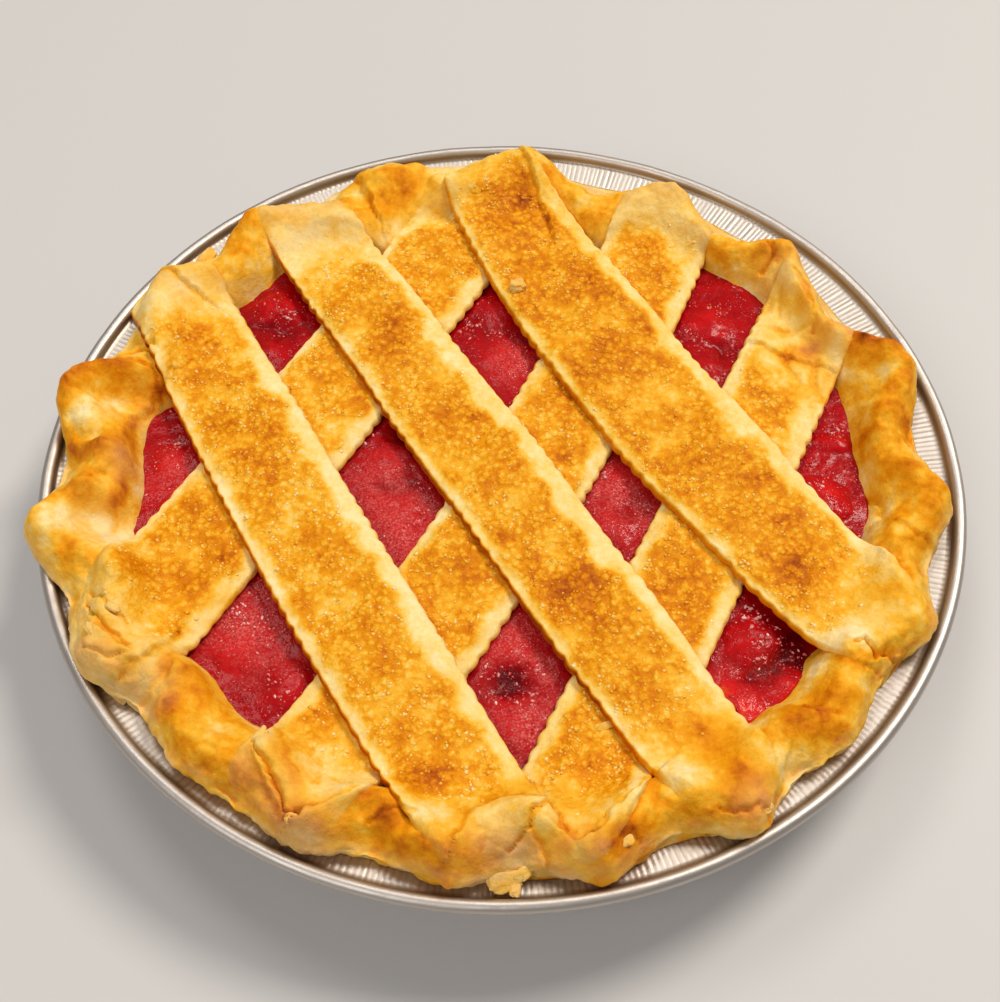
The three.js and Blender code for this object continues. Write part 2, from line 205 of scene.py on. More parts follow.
UPPER_LOOKS = [
    dict(UPPER_LOOK, left_margin=2.6, right_margin=4.4, far_thick=2.2, far_ragged=0.3, near_torn=0.15,
         far_bare=20, far_torn=0.35, near_bare=20, near_merge=0.95,
         spots=[(-16, -93, 5, 0.31), (-67, 3, 9, 0.1), (-29, -57, 9, 0.06), (9, -94, 4, 0.22),
                (-9, -102, 3.5, 0.2), (-3, -99, 3, 0.22), (3, -95, 4, 0.18), (-20, -102, 4, -0.1),
                (-100, 60, 5, 0.14), (-80, 40, 8, 0.05), (-40, -30, 40, -0.05)]),
    dict(UPPER_LOOK, left_margin=1.8, right_margin=5.0, far_thick=1.8, near_ragged=1.0, far_bare=26,
         far_torn=0.4, near_bare=25, near_torn=0, far_merge=0.95,
         spots=[(49.5, -85, 6, 0.48), (46, -80, 3.5, 0.24), (53, -94, 5, 0.5), (-33, 46, 8, 0.12),
                (17, -45, 9, 0.14), (-27, 20, 5, -0.22), (33, -62, 8, 0.1), (-42, 34, 4, -0.14),
                (38, -94, 5, -0.14), (61, -90, 4, -0.14), (0, 10, 40, 0.02)]),
    dict(UPPER_LOOK, left_margin=1.6, right_margin=4.4, far_thick=2.4, near_ragged=1.2, far_bare=4.5,
         far_torn=0, near_bare=20, near_torn=0, near_merge=0.9, far_merge=0.6, edge_brown_and_shade=0.5,
         spots=[(8, 96, 12, 0.2), (18, 78, 9, 0.08), (53, 4, 8, 0.08), (80, -38, 9, 0.08),
                (94, -47, 5, 0.24), (82, -58, 8, -0.2), (89, -67, 7, -0.2), (99, -56, 6, -0.14),
                (30, 30, 40, 0.06)]),
]

# Bubbles in the juice, the palest of them painted glints, sugar and scraps
BUBBLES = 2000
BUBBLE_TURNS = 8
BUBBLE_RINGS = 5
BUBBLE_FLATNESS = 0.6
BUBBLE_SIZE, BUBBLE_SIZE_RANGE = 0.17, 0.4
BUBBLE_TRIES = 60
SUGAR_CRYSTALS = 4200
SUGAR_SIZES = (0.45, 0.95)
SUGAR_SINK = 0.2
SCRAP_TURNS = 40
SCRAP_RINGS = 22

# Grid that heights are laid out on
GRID_STEP = 0.6
GRID_HALF = 127.2
SUNK = 20.0

# Camera in millimetres, its lens and its roll in radians
CAMERA_PLACE = (-0.46, -205.28, 311.81)
CAMERA_TARGET = (-0.46, -14.53, 30.0)
CAMERA_LENS = 46.7
CAMERA_ROLL = -0.0032
# Lamps in metres: name, place, size, power, colour
LAMPS = [
    ("key", (0.95, 0.75, 1.75), 0.7, 29.4, (1.0, 0.94, 0.86)),
    ("fill", (-0.7, -0.9, 1.3), 1.0, 8, (1.0, 0.98, 0.96)),
    ("back", (-0.4, 0.75, 1.65), 0.6, 6, (1.0, 0.97, 0.93)),
]
LAMP_TARGET = (0, 0, 0.02)
SKY_COLOUR = (1.0, 0.98, 0.95, 1)
SKY_STRENGTH = 0.25
FLOOR_SIZE = 6


# ---- Numbers ----

def round_angles(turns):
    """Evenly spaced angles, one in each row."""
    return (np.arange(turns) * 2 * np.pi / turns)[:, None]


def mix(a, b, share):
    return a + (b - a) * share


def clip(value, low=0.0, high=1.0):
    return np.minimum(np.maximum(value, low), high)


def ease(value, low=0.0, high=1.0):
    share = clip((value - low) / (high - low))
    return share * share * (3 - 2 * share)


def bump(value, centre, width):
    return np.exp(-(((value - centre) / width) ** 2))


dice = np.random.RandomState(7)
PERMUTATION = dice.permutation(256)
GRADIENTS = dice.normal(size=(256, 3))
GRADIENTS /= np.linalg.norm(GRADIENTS, axis=1)[:, None]
SEED_SHIFT = 13.7
NOISE_GAIN = 1.7


def noise(points, size, seed):
    """Smooth noise from about -1 to 1 at points, with features of the given size."""
    place = points / size + seed * SEED_SHIFT
    cell = np.floor(place).astype(int)
    part = place - cell
    fade = part ** 3 * (part * (part * 6 - 15) + 10)
    total = np.zeros(len(points))
    for corner in itertools.product((0, 1), repeat=3):
        near = cell + corner
        index = PERMUTATION[near[:, 0] & 255]
        index = PERMUTATION[(index + near[:, 1]) & 255]
        index = PERMUTATION[(index + near[:, 2]) & 255]
        weight = np.where(corner, fade, 1 - fade).prod(axis=1)
        total += weight * ((part - corner) * GRADIENTS[index]).sum(axis=1)
    return total * NOISE_GAIN


def surface_noise(x, y, z, size, seed, layers=1, fall=0.5):
    """Noise over a surface in space, with finer layers added to it."""
    places = np.column_stack([np.ravel(x), np.ravel(y), np.ravel(z)])
    total = sum(noise(places, size / 2 ** k, seed + k) * fall ** k for k in range(layers))
    return total.reshape(np.shape(x))


def plan_noise(x, y, size, seed, layers=1, fall=0.5):
    """Noise over the plan."""
    return surface_noise(x, y, np.zeros(np.shape(x)), size, seed, layers, fall)


def warped(x, y, warps, layers=1):
    """Plan points moved about by noise of each size, distance and seed."""
    px, py = x, y
    for size, distance, seed in warps:
        px = px + distance * plan_noise(x, y, size, seed, layers)
        py = py + distance * plan_noise(x, y, size, seed + 1, layers)
    return px, py


def radial_noise(x, y, size, stretch, seed):
    """Noise of the given size round the pie, drawn out along its radius."""
    radius, angle = np.ravel(np.hypot(x, y)), np.ravel(np.arctan2(y, x))
    ring_x, ring_y = RIM_FOOT_RADIUS * np.cos(angle), RIM_FOOT_RADIUS * np.sin(angle)
    return noise(np.column_stack([ring_x, ring_y, radius / stretch]), size, seed).reshape(np.shape(x))


def smooth_line(points, steps):
    """A smooth curve through points (n, ...), with an even count of steps between them."""
    points = np.asarray(points, dtype=float)
    padded = np.concatenate([[2 * points[0] - points[1]], points, [2 * points[-1] - points[-2]]])
    t = np.linspace(0, len(points) - 1, steps)
    index = np.minimum(t.astype(int), len(points) - 2)
    t = (t - index).reshape((-1,) + (1,) * (points.ndim - 1))
    a, b, c, d = (padded[index + k] for k in range(4))
    return b + t * ((c - a) / 2 + t * ((a - 2.5 * b + 2 * c - d / 2) + t * (1.5 * (b - c) + (d - a) / 2)))


def line_distance(x, y, line):
    """Distance from plan points to a line of points, signed by the side they are on."""
    best = np.full(np.shape(x), 1e9)
    side = np.ones(np.shape(x))
    for (ax, ay), (bx, by) in zip(line, line[1:]):
        dx, dy = bx - ax, by - ay
        share = clip(((x - ax) * dx + (y - ay) * dy) / (dx * dx + dy * dy))
        distance = np.hypot(x - ax - share * dx, y - ay - share * dy)
        nearer = distance < best
        best = np.where(nearer, distance, best)
        side = np.where(nearer, np.sign(dx * (y - ay) - dy * (x - ax)), side)
    return best, side


def spotted(x, y, spots):
    """Sum of soft round spots (x, y, radius, strength) at plan points."""
    return sum(strength * np.exp(-((x - spot_x) ** 2 + (y - spot_y) ** 2) / size ** 2)
               for spot_x, spot_y, size, strength in spots)


# ---- Height maps over the plan ----

grid_line = np.arange(-GRID_HALF, GRID_HALF + GRID_STEP / 2, GRID_STEP)
grid_x, grid_y = np.meshgrid(grid_line, grid_line)


def blurred(field, radius):
    """A height map blurred over a radius in millimetres."""
    turn = np.fft.fftfreq(len(grid_line), GRID_STEP)
    wave = np.exp(-2 * (math.pi * radius) ** 2 * (turn[:, None] ** 2 + turn[None, :] ** 2))
    return np.fft.ifft2(np.fft.fft2(field) * wave).real


def sampled(field, x, y):
    """A height map's values at plan points."""
    across = clip((x + GRID_HALF) / GRID_STEP, 0, len(grid_line) - 1.001)
    along = clip((y + GRID_HALF) / GRID_STEP, 0, len(grid_line) - 1.001)
    column, row = across.astype(int), along.astype(int)
    u, v = across - column, along - row
    near = mix(field[row, column], field[row, column + 1], u)
    far = mix(field[row + 1, column], field[row + 1, column + 1], u)
    return mix(near, far, v)


# ---- Rim of the crust ----

def crimp_at(angle):
    """How far the rim reaches at an angle, 1 on a lobe to 0 in a pinch, and how deep the fold is."""
    start = CRIMPS[0, 0]
    turn = (np.degrees(angle) + 720 - start) % 360
    index = np.searchsorted(CRIMPS[:, 0] - start, turn, side="right") - 1
    after = (index + 1) % len(CRIMPS)
    span = (CRIMPS[after, 0] + 360 - CRIMPS[index, 0]) % 360
    share = (turn + start - CRIMPS[index, 0]) / span
    across = np.abs(2 * share - 1)
    swell = mix(ease(across ** CRIMP_SHARPNESS), across, CREASE_SHARPNESS)
    lobe = np.where(share < 0.5, CRIMPS[index, 1], CRIMPS[after, 1])
    fold = mix(CRIMPS[index, 3], CRIMPS[after, 3], ease(share))
    return mix(CRIMPS[index, 2], lobe, swell), swell, fold


def rim_at(x, y):
    """The rim at plan points: reach, foot, crest height, swell, fold and how far in from its reach."""
    radius, angle = np.hypot(x, y), np.arctan2(y, x)
    reach, swell, fold = crimp_at(angle)
    lobe = (reach - PINCH_REACH) / (LOBE_REACH - PINCH_REACH)
    crest = RIM_LEVEL + mix(PINCH_CREST_HEIGHT, LOBE_CREST_HEIGHT, lobe) + CREST_TILT * np.sin(angle)
    foot = RIM_FOOT_RADIUS - RIM_FOOT_CREEP * np.maximum(0, np.sin(angle)) ** 3
    foot = foot + RIM_FOOT_WAVE * fold * (swell - 0.5)
    for middle, half, creep in RIM_CREEPS:
        foot = foot - creep * bump((np.degrees(angle) - middle + 180) % 360 - 180, 0, half)
    inward = (reach - radius) / (reach - foot)
    return SimpleNamespace(reach=reach, foot=foot, crest=crest, swell=swell, fold=fold, inward=inward)


def rim_round(turns):
    """Angles round the pie, one in each row, and the rim at them."""
    angle = round_angles(turns)
    return angle, rim_at(TIN_WALL_TOP_RADIUS * np.cos(angle), TIN_WALL_TOP_RADIUS * np.sin(angle))


rim_curve = smooth_line(RIM_SHAPE, RIM_TOP_STEPS)


def rim_level(rim, inward):
    """Height of the rim's section as a share of its crest."""
    plump, lobe, pinch = (np.interp(inward, rim_curve[:, 0], rim_curve[:, k]) for k in (1, 2, 3))
    return mix(plump, mix(pinch, lobe, rim.swell), rim.fold)


def rim_height(rim, inward):
    """Height of the rim's section above the table."""
    return mix(FILLING_LEVEL, rim.crest, rim_level(rim, inward))


# Cracks in the dough: lines in the plan, depth, width
CRACKS = [
    ([(-101, -49), (-98, -53), (-94, -57), (-88, -61)], 1.3, 0.45),
    ([(-100, -46), (-95, -50), (-90, -55)], 1.0, 0.4),
    ([(-98, -62), (-93, -65), (-88, -64)], 0.9, 0.4),
    ([(-57, -85), (-54, -89), (-52, -92), (-49, -98), (-48, -102), (-44, -103)], 1.5, 0.5),
    ([(1, -110), (4, -108), (6, -106), (7, -102), (10, -100)], 1.3, 0.42),
    ([(10, -101), (12, -103), (13, -107), (16, -109), (21, -107), (23, -103)], 1.3, 0.42),
    ([(-7, -105), (-4, -108), (-5, -111)], 0.7, 0.4),
    ([(84, 60), (87, 53), (89, 46), (88, 40)], 0.9, 0.7),
    ([(79, 61), (81, 54), (80, 48)], 0.6, 0.7),
    ([(-119, 14), (-113, 16), (-108, 14)], 0.6, 0.6),
    ([(-112, -12), (-107, -14), (-103, -11)], 0.8, 0.7),
    ([(57, -102), (61, -104), (63, -101)], 1.4, 0.5),
    ([(83, -61), (86, -60), (88, -63), (91, -62), (94, -64), (99, -60)], 2.0, 0.45),
    ([(84, -68), (87, -66), (91, -68)], 0.9, 0.4),
    ([(48, -101), (53, -103), (56, -101)], 1.0, 0.4),
    ([(30, -100), (27, -104), (30, -108)], 0.7, 0.4),
    ([(77, 64), (80, 68), (79, 72)], 1.4, 0.5),
    ([(96, -12), (99, -18), (98, -23)], 1.2, 0.8),
    ([(-107, 30), (-101, 33), (-95, 31)], 1.1, 0.6),
    ([(-64, -94), (-60, -99), (-61, -103)], 1.0, 0.5),
    ([(36, 97), (41, 101), (40, 106)], 1.2, 0.6),
    ([(68, -76), (72, -79), (77, -79)], 0.8, 0.5),
    ([(-30, -104), (-24, -101), (-19, -103)], 0.8, 0.45),
    ([(-44, -85), (-41, -90), (-42, -95)], 0.7, 0.5),
    ([(-38, -93), (-33, -96), (-30, -95)], 0.7, 0.5),
    ([(76, 44), (80, 41), (86, 42)], 0.8, 1.0),
    ([(-84, -73), (-81, -70), (-78, -66)], 1.0, 0.8),
    ([(-100, 27), (-95, 24), (-94, 19)], 1.0, 0.6),
    ([(82, 36), (80, 30), (82, 24)], 0.9, 0.9),
    ([(88, 30), (86, 24), (88, 18)], 0.9, 0.9),
]
# Folds, where one ply overlaps the next: lines, height of the upper ply, how far back it reaches
FOLDS = [
    ([(9, -113), (8, -110), (6, -106), (7, -102), (9, -100), (4, -98.5), (-3, -99.5), (-8, -103),
      (-10, -109)], 1.3, 7),
    ([(6, 112), (11, 96), (15, 81)], 1.6, 7),
    ([(-104, 63), (-95, 59), (-86, 53)], 1.6, 6),
    ([(-57, -86), (-52, -96), (-48, -103)], 0.9, 5),
    ([(-30, -95), (-35, -99), (-40, -101), (-45, -104)], 1.6, 6),
    ([(35, -92), (29, -98), (22, -104), (17, -109), (12, -106)], 1.8, 7),
    ([(102, -58), (95, -62), (85, -65)], 1.0, 6),
    ([(-88, -62), (-96, -57), (-101, -49)], 1.0, 5),
    ([(96, 44), (101, 38), (108, 36)], 1.4, 6),
    ([(-90, -68), (-82, -62), (-79, -55)], 1.6, 6),
    ([(58, -103), (62, -96), (64, -90)], 1.3, 6),
    ([(99, -26), (104, -30), (110, -31)], 1.2, 6),
    ([(-49, 108), (-42, 98), (-37, 86)], 1.8, 7),
    ([(73, 38), (80, 33), (89, 29)], 1.0, 7),
    ([(-52, -80), (-49, -86), (-46, -92)], 0.8, 5),
    ([(-101.5, -25), (-100.5, -19), (-98.5, -13.5), (-97.3, -7), (-98.3, 0), (-99.8, 6.5), (-101, 12),
      (-97.5, 16.5), (-93, 22)], 1.7, 5),
]
# Ridges pinched up round the rim: lines, rise, width, how much browner they are
RIDGES = [
    ([(-94, 22), (-105, 25), (-116, 22), (-119, 12), (-116, 2), (-110, -3), (-101, -3), (-97, -10),
      (-100, -17), (-107, -16)], 2.6, 3.2, 0.2),
    ([(-107, -16), (-112, -18), (-117, -24)], 2.4, 3.2, 0.04),
    ([(-94, 21), (-100, 15), (-100.5, 6), (-99, 0), (-98, -7), (-99, -13.5), (-101, -19)], 0.8, 1.5, 0.2),
    ([(-116, -34), (-113, -46), (-108, -55)], 1.0, 4, 0.06),
    ([(-84, -58), (-77, -63), (-71, -66), (-68, -73), (-61, -79)], 2.0, 3.2, 0.18),
    ([(-80, -78), (-68, -84), (-60, -91), (-54, -97)], 1.4, 4.2, 0.1),
    ([(-34, -98), (-27, -99), (-23, -106), (-12, -111)], 2.0, 3.6, 0.12),
    ([(20, -110), (27, -105), (36, -103), (41, -98)], 1.8, 4, 0.1),
    ([(66, -80), (75, -75), (84, -66)], 1.6, 4, 0.08),
    ([(93, 36), (104, 32), (109, 24), (105, 14), (99, 5), (99, -5), (105, -10), (113, -16)], 2.2, 3.8, 0.1),
    ([(100, 33), (107, 30), (111, 24), (111.5, 14), (109, 3)], 0.7, 2.0, 0.16),
    ([(98, -30), (101, -24), (107, -22)], 1.4, 3.4, 0.06),
    ([(84, 70), (88, 62), (90, 54)], 1.0, 4, 0.1),
    ([(-47, 104), (-38, 101), (-31, 97), (-30, 89)], 1.6, 4, 0.12),
    ([(34, 100), (44, 99), (53, 93)], 1.2, 4, 0.08),
    ([(-92, 74), (-84, 76), (-76, 82)], 1.2, 4, 0.08),
]
# Domes and hollows of the rim: x, y, radius, rise
RIM_LUMPS = [
    (-110, 11, 6, 1.2), (-106, 17, 4, -1.2), (-104, -23, 5, -2.6), (-111, -5, 3, -1.8),
    (-114, -30, 4, 0.9), (-110, -40, 4, -0.8), (-66, -92, 6, 0.9), (-73, -84, 5, -0.9),
    (-60, -97, 4, 0.7), (107, 28, 4, 1.0), (96, -18, 5, -1.8), (112, 4, 5, -1.2), (24, -112, 5, 1.0),
    (-16, -105, 4, 0.9), (76, -86, 5, -0.8), (-33, 92, 5, -2.0), (-29, -105, 4, -1.0),
    (-38, -103, 4, 0.7), (35, -109, 4, 0.8), (64, -94, 4, -0.9), (84, -77, 5, 0.7), (104, 17, 4, -1.0),
    (110, -24, 4, 0.8), (-2, -106, 5, 0.9), (79, 62, 4, 1.3), (90, 52, 4, 1.0), (83, 50, 3.5, -1.2),
    (91, 63, 4, -0.8), (84, 70, 3.5, 0.9),
]


def dough_relief(x, y):
    """Lumps, cracks and folds of baked dough over the plan, and how far a point is in a crack or on a fold's
    edge, which the callers brown as painted shade.
    """
    height = SWELL_HEIGHT * plan_noise(x, y, SWELL_SIZE, 1)
    height = height + LUMP_HEIGHT * plan_noise(x, y, LUMP_SIZE, 2, 3, 0.6)
    px, py = warped(x, y, DOUGH_WARP)
    torn = np.zeros(np.shape(x))
    for line, depth, width in CRACKS:
        distance, _ = line_distance(px, py, line)
        height -= depth * (np.exp(-((distance / width) ** 2)) - 0.25 * bump(distance, 1.8, 1.2))
        torn = np.maximum(torn, depth / 2 * np.exp(-((distance / (1.3 * width)) ** 2)))
    for line, rise, back in FOLDS:
        distance, side = line_distance(px, py, line)
        height += rise * ease(side * distance, -0.3, 0.5) * np.exp(-distance / back)
        torn = np.maximum(torn, 0.6 * bump(side * distance, -0.5, 0.6))
    return height, torn


def rim_relief(x, y):
    """What the crimping fingers left on the rim."""
    rim = rim_at(x, y)
    crease = (1 - rim.swell) ** 5 * bump(rim.inward, 0.06, 0.16)
    wrinkles = radial_noise(x, y, WRINKLE_SIZE, WRINKLE_STRETCH, 8)
    wrinkles = wrinkles * (1 - 0.7 * rim.swell) * bump(rim.inward, 0.4, 0.5)
    lumps = plan_noise(x, y, RIM_LUMP_SIZE, 9, 3, 0.6) * bump(rim.inward, 0.4, 0.45)
    height = (0.3 + 0.3 * rim.fold) * wrinkles + RIM_LUMP_HEIGHT * lumps - PINCH_CREASE_DEPTH * crease
    height = height + spotted(x, y, RIM_LUMPS)
    for line, rise, width, _ in RIDGES:
        distance, _ = line_distance(x, y, line)
        height = height + rise * np.exp(-((distance / width) ** 2))
    return height


def rim_top(x, y):
    """Height of the rim's top, sunk away where there is no rim."""
    rim = rim_at(x, y)
    height = rim_height(rim, rim.inward) + rim_relief(x, y) * ease(rim.inward, -0.02, 0.1)
    return np.where((rim.inward < 0) | (rim.inward > 1), SUNK, height)


# ---- Strips of the lattice ----

def strip_axes(strip):
    """A strip's direction and the direction across it, to its right."""
    heading = math.radians(strip["heading"])
    along = np.array([math.cos(heading), math.sin(heading)])
    return along, np.array([along[1], -along[0]])


def edge_offset(edge, run):
    """How far a bowed edge lies to the right of the pie's middle."""
    return edge[0] + edge[1] * (1 - 2 * (run / RIM_FOOT_RADIUS) ** 2)


def strip_plan(strip, side, run, scalloped=1.0):
    """Plan points of a strip: side is -1 on its left edge and 1 on its right edge."""
    along, across = strip_axes(strip)
    left, right = edge_offset(strip["left"], run), edge_offset(strip["right"], run)
    scallop = np.abs(np.sin(np.pi * (run / SCALLOP_PITCH + 0.35 * np.sin(run / 17)))) - 0.5
    scallop = scallop * (0.62 + 0.38 * np.sin(run / 7.3 + 2 * np.sign(side)))
    shift = mix(left, right, (side + 1) / 2) + np.sign(side) * SCALLOP_DEPTH * scallop * scalloped
    return along[0] * run + across[0] * shift, along[1] * run + across[1] * shift


def strip_end(strip, side, direction):
    """How far a strip runs from its middle before it ends on the rim."""
    extra = strip["far"] + side * strip["skew"] if direction > 0 else 0
    run = np.full(np.shape(side), direction * RIM_FOOT_RADIUS, dtype=float)
    for _ in range(END_SEARCH_STEPS):
        x, y = strip_plan(strip, side, run, 0)
        rim = rim_at(x, y)
        crest = mix(rim.reach, rim.foot, CREST_SHARE)
        run += direction * 0.8 * (crest + STRIP_OVERHANG + extra - np.hypot(x, y))
    return run


def inside_strip(strip, x, y):
    """Distances of plan points inside a strip: from its edges, its near end and its far end."""
    along, across = strip_axes(strip)
    run = x * along[0] + y * along[1]
    shift = x * across[0] + y * across[1]
    sides = shift - edge_offset(strip["left"], run), edge_offset(strip["right"], run) - shift
    middle = np.zeros(1)
    return np.minimum(*sides), run - strip_end(strip, middle, -1), strip_end(strip, middle, 1) - run


def round_edge(distance, radius=EDGE_ROUND):
    """Height of a rounded edge as a share of its thickness."""
    return np.sqrt(1 - (1 - clip(distance / radius)) ** 2)


def strip_height(look, to_edge, to_near, to_far):
    """Thickness of a strip, which thins to its edges and has its ends pressed thin."""
    near = mix(look["near_thick"], STRIP_THICKNESS, ease(to_near, 0, TAPER_LENGTH))
    far = mix(look["far_thick"], STRIP_THICKNESS, ease(to_far, 0, TAPER_LENGTH))
    return np.minimum(near, far) * mix(look["edge_share"], 1, ease(to_edge, 0, EDGE_TAPER))


def merging(look, to_near, to_far):
    """How far a strip is pressed into what carries it."""
    near = look["near_merge"] * ease(-to_near, -MERGE_LENGTH, -3)
    return near + look["far_merge"] * ease(-to_far, -MERGE_LENGTH, -3)


# What carries the strips
rim_map = rim_top(grid_x, grid_y)
rim_rest = np.maximum(LOWER_STRIP_REST, rim_map)
lower_rest = np.maximum(blurred(rim_rest + 0.3, LOWER_DRAPE), rim_map + 0.1)
lower_top = np.full_like(rim_map, SUNK)
for strip, look in zip(LOWER_STRIPS, LOWER_LOOKS):
    to_edge, to_near, to_far = inside_strip(strip, grid_x, grid_y)
    raised = lower_rest + strip_height(look, to_edge, to_near, to_far) * round_edge(to_edge)
    raised = mix(raised, rim_rest + MERGE_RISE, merging(look, to_near, to_far))
    covered = np.minimum(to_edge, np.minimum(to_near, to_far)) > 0
    lower_top = np.maximum(lower_top, np.where(covered, raised, SUNK))
below = np.maximum(rim_map, lower_top)
upper_rest = blurred(np.maximum(UPPER_STRIP_REST, below + 0.3), UPPER_DRAPE)
upper_rest = np.maximum(upper_rest, blurred(below, UPPER_CLOSE_DRAPE) + 0.2)
upper_carried = np.maximum(rim_rest, lower_top)


# ---- Meshes ----

def material_named(name):
    material = bpy.data.materials.new(name)
    material.use_nodes = True
    return material


def make_piece(name, points, faces, material, nodes=(), attributes=None, smooth=True):
    """One mesh piece from points in millimetres and lists of faces of equal length."""
    mesh = bpy.data.meshes.new(name)
    points = np.asarray(points, dtype=np.float32) * MM
    faces = [np.asarray(group, dtype=np.int32) for group in faces if len(group)]
    corners = np.concatenate([group.ravel() for group in faces])
    sizes = np.concatenate([np.full(len(group), group.shape[1]) for group in faces])
    mesh.vertices.add(len(points))
    mesh.vertices.foreach_set("co", points.ravel())
    mesh.loops.add(len(corners))
    mesh.loops.foreach_set("vertex_index", corners)
    mesh.polygons.add(len(sizes))
    starts = np.concatenate([[0], np.cumsum(sizes)[:-1]])
    mesh.polygons.foreach_set("loop_start", starts.astype(np.int32))
    mesh.polygons.foreach_set("loop_total", sizes.astype(np.int32))
    mesh.polygons.foreach_set("use_smooth", np.full(len(sizes), smooth))
    mesh.update(calc_edges=True)
    mesh.validate()
    for key, values in (attributes or {}).items():
        data = mesh.attributes.new(key, "FLOAT", "POINT").data
        data.foreach_set("value", np.ravel(values).astype(np.float32))
    mesh.materials.append(material)
    piece = bpy.data.objects.new(name, mesh)
    bpy.context.collection.objects.link(piece)
    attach(piece, "root")
    if nodes:
        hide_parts(*nodes)


def closed_faces(turns, steps, starts=0):
    """Quads and end triangles of closed forms of turns by steps points and then the two ends."""
    turn, step = np.meshgrid(np.arange(turns) * steps, np.arange(steps - 1), indexing="ij")
    after = (turn + steps) % (turns * steps)
    quads = np.stack([turn + step, after + step, after + step + 1, turn + step + 1], axis=-1)
    turn, after = turn[:, 0], after[:, 0]
    low, high = np.full(turns, turns * steps), np.full(turns, turns * steps + 1)
    caps = np.concatenate([np.column_stack([low, after, turn]),
                           np.column_stack([high, turn + steps - 1, after + steps - 1])])
    starts = np.reshape(starts, (-1, 1, 1))
    return [(quads.reshape(-1, 4) + starts).reshape(-1, 4), (caps + starts).reshape(-1, 3)]


def turned(radius, height):
    """A closed solid from a profile for each angle, ending on the axis at both ends."""
    turns, steps = radius.shape
    angle = round_angles(turns)
    points = np.stack([radius * np.cos(angle), radius * np.sin(angle), height], axis=-1)
    ends = [(0, 0, height[:, 0].mean()), (0, 0, height[:, -1].mean())]
    return np.concatenate([points.reshape(-1, 3), ends]), closed_faces(turns, steps)


def profiles(angle, rows):
    """Radius and height of a profile's points for every angle, from its rows of both."""
    one = np.ones_like(angle)
    return [np.concatenate([one * row[k] for row in rows], axis=1) for k in (0, 1)]


def tube(loops):
    """A closed solid from loops of points (stations, places, 3), with a face over each end."""
    stations, places, _ = loops.shape
    station, place = np.meshgrid(np.arange(stations - 1) * places, np.arange(places), indexing="ij")
    after = (place + 1) % places
    quads = np.stack([station + place, station + after,
                      station + places + after, station + places + place], axis=-1)
    ends = np.array([np.arange(places)[::-1], np.arange(places) + (stations - 1) * places])
    return loops.reshape(-1, 3), [quads.reshape(-1, 4), ends]


def ball(turns, rings):
    """Points of a ball of radius 1, with its lowest and highest last."""
    angle = round_angles(turns)
    lift = np.linspace(-np.pi / 2, np.pi / 2, rings + 2)[1:-1]
    points = np.stack([np.cos(angle) * np.cos(lift), np.sin(angle) * np.cos(lift),
                       np.ones((turns, 1)) * np.sin(lift)], axis=-1)
    return np.concatenate([points.reshape(-1, 3), [(0, 0, -1), (0, 0, 1)]])


# ---- Materials ----

def set_inputs(material, node, inputs):
    """Sets sockets, named or numbered as in _0, to values or to what another node gives."""
    for key, value in inputs.items():
        socket = node.inputs[int(key[1:])] if key[0] == "_" else node.inputs[key.replace("_", " ")]
        if isinstance(value, bpy.types.NodeSocket):
            material.node_tree.links.new(value, socket)
        else:
            socket.default_value = value


def add_node(material, kind, settings=None, **inputs):
    node = material.node_tree.nodes.new(kind)
    for key, value in (settings or {}).items():
        setattr(node, key, value)
    set_inputs(material, node, inputs)
    return node


def attribute(material, name):
    return add_node(material, "ShaderNodeAttribute", {"attribute_name": name}).outputs["Fac"]


def math_node(material, operation, a, b, clamp=False):
    settings = {"operation": operation, "use_clamp": clamp}
    return add_node(material, "ShaderNodeMath", settings, _0=a, _1=b).outputs[0]


def plus(material, a, b, clamp=False):
    return math_node(material, "ADD", a, b, clamp)


def minus(material, a, b):
    return math_node(material, "SUBTRACT", a, b)


def times(material, a, b):
    return math_node(material, "MULTIPLY", a, b)


def spread(material, value, low, high, new_low=0.0, new_high=1.0):
    """Value mapped from one range to another and kept inside it."""
    node = add_node(material, "ShaderNodeMapRange", Value=value, From_Min=low, From_Max=high,
                    To_Min=new_low, To_Max=new_high)
    return node.outputs[0]


def noise_node(material, size, detail=3.0, rough=0.6):
    """Noise with features of a size in millimetres."""
    place = add_node(material, "ShaderNodeTexCoord").outputs["Object"]
    node = add_node(material, "ShaderNodeTexNoise", Vector=place, Scale=1 / (size * MM),
                    Detail=detail, Roughness=rough)
    return node.outputs["Fac"]


def grain_node(material, size):
    """Distance from the middle of the nearest grain, in grains."""
    place = add_node(material, "ShaderNodeTexCoord").outputs["Object"]
    node = add_node(material, "ShaderNodeTexVoronoi", Vector=place, Scale=1 / (size * MM))
    return node.outputs["Distance"]


def linear(value):
    """A colour value from 0 to 255 as light from 0 to 1."""
    value /= 255
    return value / 12.92 if value <= 0.04045 else ((value + 0.055) / 1.055) ** 2.4


def ramp(material, value, stops):
    """Colour that a value picks from stops of place and colour."""
    node = add_node(material, "ShaderNodeValToRGB", _0=value)
    colours = node.color_ramp.elements
    while len(colours) < len(stops):
        colours.new(0.5)
    for element, (place, colour) in zip(colours, stops):
        element.position = place
        element.color = (*[linear(c) for c in colour], 1)
    return node.outputs["Color"]


def blended(material, share, first, second):
    """Colour between two colours by a share from 0 to 1."""
    node = add_node(material, "ShaderNodeMix", {"data_type": "RGBA"}, _0=share, _6=first, _7=second)
    return node.outputs[2]


def bumped(material, height, depth, strength=1.0, below=None):
    """Bump of a height field whose full range is depth millimetres."""
    extra = {"Normal": below} if below is not None else {}
    node = add_node(material, "ShaderNodeBump", Strength=strength, Distance=depth * MM,
                    Height=height, **extra)
    return node.outputs["Normal"]


def principled(material, **inputs):
    set_inputs(material, material.node_tree.nodes["Principled BSDF"], inputs)


